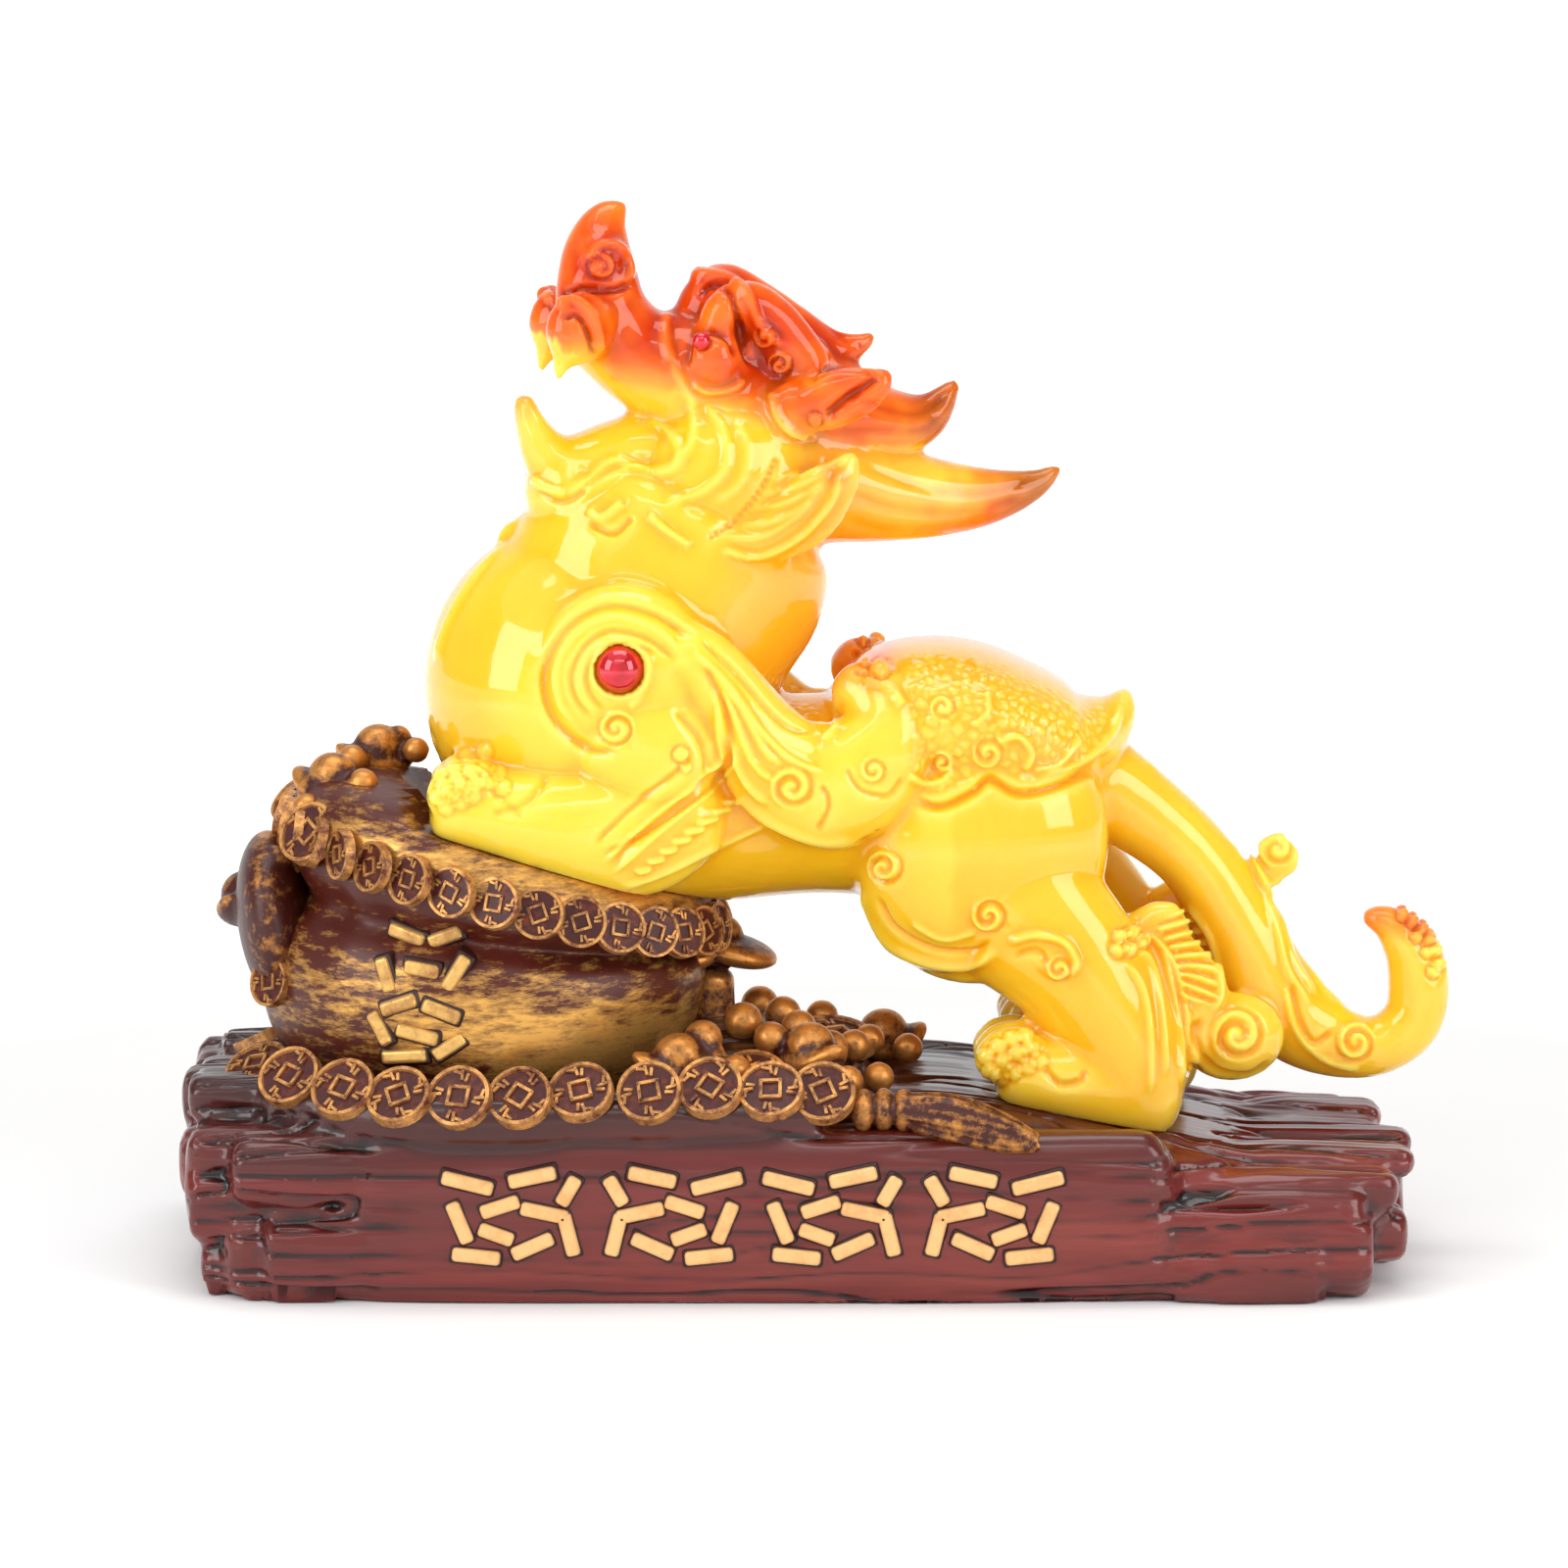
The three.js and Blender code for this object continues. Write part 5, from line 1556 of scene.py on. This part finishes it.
def amber_group():
    inputs = dict.fromkeys((*MASKS, "Clear"), "Float")
    tree, mask, result = node_group("amber_colour", inputs, {"Color": "Color"})
    body = ramp(tree, object_noise(tree, 28, detail=3), (0.3, "FABA16"), (0.7, "FAC622"))
    body = mix(tree, mask["deep"], body, "FAA812")
    body = mix(tree, mask["butter"], body, "FBD036")
    thinner = spread(tree, object_noise(tree, 55, detail=2), 0.42, 0.66, 0, -0.42)
    strength = arithmetic(tree, "ADD", mask["red"], thinner)
    milky_stain, clear_stain = [
        ramp(tree, strength, (0, "FAC634"), (start, "F59A18"), (0.62, "E8640C"), (1, "CC3404"))
        for start in (0.3, 0.35)
    ]
    stain = mix(tree, mask["Clear"], milky_stain, clear_stain)
    colour = mix(tree, scaled(tree, mask["red"], 4), body, stain)
    colour = mix(tree, mask["tips"], colour, "6E4408")
    # Painted light: the raised edges are lightened as a painted highlight, and the creases are darkened as
    # painted shade.
    edge = mix(tree, mask["red"], "FFE27A", "FF8A30")
    painted_crease_shade = mix(tree, mask["red"], "F2A818", "7C1802")
    colour = mix(tree, scaled(tree, mask["raised"], 0.35), colour, edge)
    wire(tree, result["Color"], mix(tree, scaled(tree, mask["sunk"], 0.5), colour, painted_crease_shade))
    return tree


def amber_material(name, is_clear, **values):
    """Polished resin that light enters. The clearer one, marked by 1, turns red a little later."""
    material, tree, shader = new_material(name, IOR=1.45, **values)
    masks = {mask: attribute(tree, mask) for mask in MASKS}
    colour = grouped(tree, amber_colour, Clear=is_clear, **masks)["Color"]
    plug(tree, shader, Base_Color=colour)
    return material


amber_colour = amber_group()
milky = amber_material(
    "milky_amber", 0, Roughness=0.12, Subsurface_Weight=0.7, Subsurface_Scale=0.012,
    Subsurface_Radius=(1.0, 0.5, 0.15), Specular_IOR_Level=0.25, Coat_Weight=0.8, Coat_Roughness=0.04,
)
clear = amber_material(
    "clear_amber", 1, Roughness=0.06, Subsurface_Weight=0.45, Subsurface_Scale=0.007,
    Subsurface_Radius=(1.0, 0.35, 0.1), Specular_IOR_Level=0.1, Coat_Weight=0.65, Coat_Roughness=0.03,
)
beast.data.materials.clear()
beast.data.materials.append(milky)
beast.data.materials.append(clear)
clear_from = 0.5
for face in beast.data.polygons:
    face.material_index = int(np.mean(red[list(face.vertices)]) > clear_from)
print("clear faces:", sum(face.material_index for face in beast.data.polygons))

# %% Ruby
ruby, tree, shader = new_material("ruby_glass", Roughness=0.05, Metallic=0.35, IOR=1.55, Coat_Weight=0.8)
plug(tree, shader, Base_Color=ramp(tree, object_noise(tree, 300, detail=1), (0.3, "B80418"), (0.7, "E00C28")))
for stone in stones:
    stone.data.materials.append(ruby)

# %% [markdown]
# ## Stained wood and brushed gold
#
# The base is red-brown with a darker top, and black in its creases, which is painted shade.
# Everything gilt has gold dry-brushed over a dark ground, so it is gold only where the brush
# touched: a group makes the streaks from a noise, adds a mask of the raised parts, and keeps what
# passes a coverage. On the bowl the mask is a band round the belly and one round the lip, and the
# belly band, heavier on the right, is partly a painted highlight.

# %% Wood
wood_finish, tree, shader = new_material(
    "stained_wood", Roughness=0.3, Specular_IOR_Level=0.35, Coat_Weight=0.5, Coat_Roughness=0.12
)
streaks = object_noise(tree, 60, (0.12, 1, 1), detail=6, roughness=0.6)
stained = ramp(tree, streaks, (0.3, "4C110D"), (0.55, "70201A"), (0.8, "90382E"))
near_top = spread(tree, part_of(tree, "Object", "Z"), 0.03, 0.052)
darkened = mix(tree, near_top, stained, "33110D")
fibres = object_noise(tree, 240, (0.06, 1, 1), detail=5)
bump = node(tree, "ShaderNodeBump", Strength=0.35, Distance=0.0006, Height=fibres)
# Painted shade: the creases are darkened to near black.
wood_with_painted_shade = mix(tree, attribute(tree, "sunk"), darkened, "140303")
plug(tree, shader, Base_Color=wood_with_painted_shade, Normal=bump.outputs["Normal"])
base.data.materials.append(wood_finish)
add_mask(base, "sunk", -bulge(base, 10) / 0.5)
print("the wood's creases are masked")

# %% Brushed gold


def dry_brush_group():
    inputs = {"Scale": "Float", "Coverage": "Float", "Raised": "Float", "Stretch": "Vector"}
    tree, given, result = node_group("dry_brush", inputs, {"Gold": "Float", "Height": "Float"})
    streaks = object_noise(tree, given["Scale"], given["Stretch"], detail=9, roughness=0.76)
    touched = arithmetic(tree, "ADD", streaks, given["Raised"])
    over = arithmetic(tree, "SUBTRACT", touched, given["Coverage"])
    wire(tree, result["Gold"], spread(tree, over, -0.1, 0.12))
    wire(tree, result["Height"], streaks)
    return tree


def brushed_gold(name, dark, gold, coverage, scale, stretch=(1, 1, 1), metal=0.7):
    """Gold dry-brushed over a dark ground: only the streaks that the brush touched are gold."""
    material, tree, shader = new_material(name, Roughness=0.36, Specular_IOR_Level=0.4)
    raised = attribute(tree, "touched")
    brush = grouped(tree, dry_brush, Scale=scale, Stretch=stretch, Coverage=coverage, Raised=raised)
    bump = node(tree, "ShaderNodeBump", Strength=0.25, Distance=0.0004, Height=brush["Height"])
    plug(
        tree, shader, Base_Color=mix(tree, brush["Gold"], dark, gold),
        Metallic=scaled(tree, brush["Gold"], metal), Normal=bump.outputs["Normal"],
    )
    return material


dry_brush = dry_brush_group()
bowl_skin = points_of(bowl) / MM
# The bowl's gold mask is a band round the belly, heavier towards the right, and one round the lip. The belly
# band is partly brushed gold and partly a painted highlight.
bowl_rise = bowl_skin[:, 2] - base_height + rim_tilt * (bowl_skin[:, 0] - bowl_x) * 0.6
belly = bell(bowl_rise / bowl_height - 0.32, 0.2) * (0.35 + 0.65 * fade(bowl_skin[:, 0], -130, -60))
lip = bell(bowl_rise / bowl_height - 0.92, 0.09)
add_mask(bowl, "touched", 0.02 + 0.24 * np.maximum(belly, 0.8 * lip))
heap_gold = brushed_gold("hoard_gold", "41140D", "D08E48", 0.68, 280)
for piece in (heap, stalk, tassel):
    spot = points_of(piece) / MM
    cloth = (spot[:, 0] < -118) & (spot[:, 2] < ground + 62)
    add_mask(piece, "touched", 0.1 + 0.34 * bulge(piece, 14) - 0.12 * cloth)
    piece.data.materials.append(heap_gold)
finishes = [
    (bowl, "brushed_bowl", "4E1A10", "E4AC58", 0.665, 380, (0.3, 0.3, 1.1)),
    (coins, "coin_gilt", "5A2012", "E6A862", 0.48, 220),
    (coins, "coin_field", "431410", "8A4430", 0.6, 320),
    (front_strokes, "stroke_gilt", "D99A5E", "F6C080", 0.4, 120, (1, 1, 1), 0.3),
    (bowl_strokes, "bowl_stroke_gilt", "9A6430", "E2B468", 0.42, 120),
]
for piece, *finish in finishes:
    piece.data.materials.append(brushed_gold(*finish))
# A flat dark colour for the border bars round each stroke.
dark_stroke_border = new_material("dark_stroke_border", Roughness=0.4, Base_Color="2A0C07")[0]
for piece in (front_border, bowl_border):
    piece.data.materials.append(dark_stroke_border)
print(len(finishes) + 1, "gilt finishes share one brush")

# %% [markdown]
# ## Floor, light and the pieces' root
#
# A pale floor and big soft lights, as in a product photo: a large softbox on each side, one
# high in front and one overhead. Two wide suns fill the shadows without a highlight, and the
# pale sky is brightest behind the beast, so that the edges and the wood's top catch a sheen.

# %% Floor
floor_clay = bmesh.new()
bmesh.ops.create_grid(floor_clay, x_segments=1, y_segments=1, size=60)
floor = new_piece("floor", floor_clay)
floor.location.z = -0.0005
paper, tree, shader = new_material("paper", Roughness=0.9, Emission_Strength=0.66)
reach = tree.nodes.new("ShaderNodeVectorMath")
reach.operation = "LENGTH"
tree.links.new(tree.nodes.new("ShaderNodeTexCoord").outputs["Object"], reach.inputs[0])
glow = ramp(tree, reach.outputs["Value"], (0.35, "000000"), (0.9, "FFFFFF"))
plug(tree, shader, Base_Color=(0.93, 0.93, 0.93, 1), Emission_Color=glow)
floor.data.materials.append(paper)
print("the floor lies", -floor.location.z / MM, "mm under the base")

# %% Lights and sky


def hang_lamp(name, kind, power, place, turn, **values):
    data = bpy.data.lights.new(name, kind)
    data.energy = power
    for key, value in values.items():
        setattr(data, key, value)
    lamp = bpy.data.objects.new(name, data)
    lamp.location = place
    lamp.rotation_euler = turn
    bpy.context.scene.collection.objects.link(lamp)


def softbox(name, place, size, power):
    """A square area light that looks at the beast."""
    turn = (Vector((0, 0, 0.12)) - Vector(place)).to_track_quat("-Z", "Y").to_euler()
    hang_lamp(name, "AREA", power, place, turn, shape="RECTANGLE", size=size[0], size_y=size[1])


def wide_sun(name, power, angle, tilt, lean):
    """Soft light from a wide part of the sky, too weak to show as a highlight."""
    turn = (math.radians(tilt), math.radians(lean), 0)
    hang_lamp(name, "SUN", power, (0, 0, 0), turn, angle=angle)


softbox("left_softbox", (-1.05, -0.7, 0.6), (0.62, 0.9), 7.8)
softbox("right_softbox", (1.05, -0.8, 0.62), (0.62, 0.9), 7.8)
softbox("front_softbox", (0.0, -1.3, 1.5), (1.4, 0.2), 3.0)
softbox("top_softbox", (0.0, 0.0, 1.4), (1.0, 0.5), 5.0)
wide_sun("overhead", 0.7, 1.4, 18, -10)
wide_sun("from_the_front", 0.62, 1.3, 80, 0)
world = bpy.data.worlds.new("studio")
world.use_nodes = True
sky = world.node_tree
brightness = spread(sky, part_of(sky, "Generated", "Y"), 0.4, 0.85, 0.28, 1.0)
plug(sky, sky.nodes["Background"], Color=(1, 1, 1, 1), Strength=brightness)
bpy.context.scene.world = world
bpy.context.scene.view_settings.view_transform = "Standard"
print(len(bpy.data.lights), "lamps and a pale sky")

# %% Every piece rides on the root
base_pieces = [
    base, bowl, coins, heap, stalk, tassel, front_strokes, bowl_strokes, front_border, bowl_border,
]
for piece in [beast, *base_pieces, *stones]:
    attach(piece, "root")
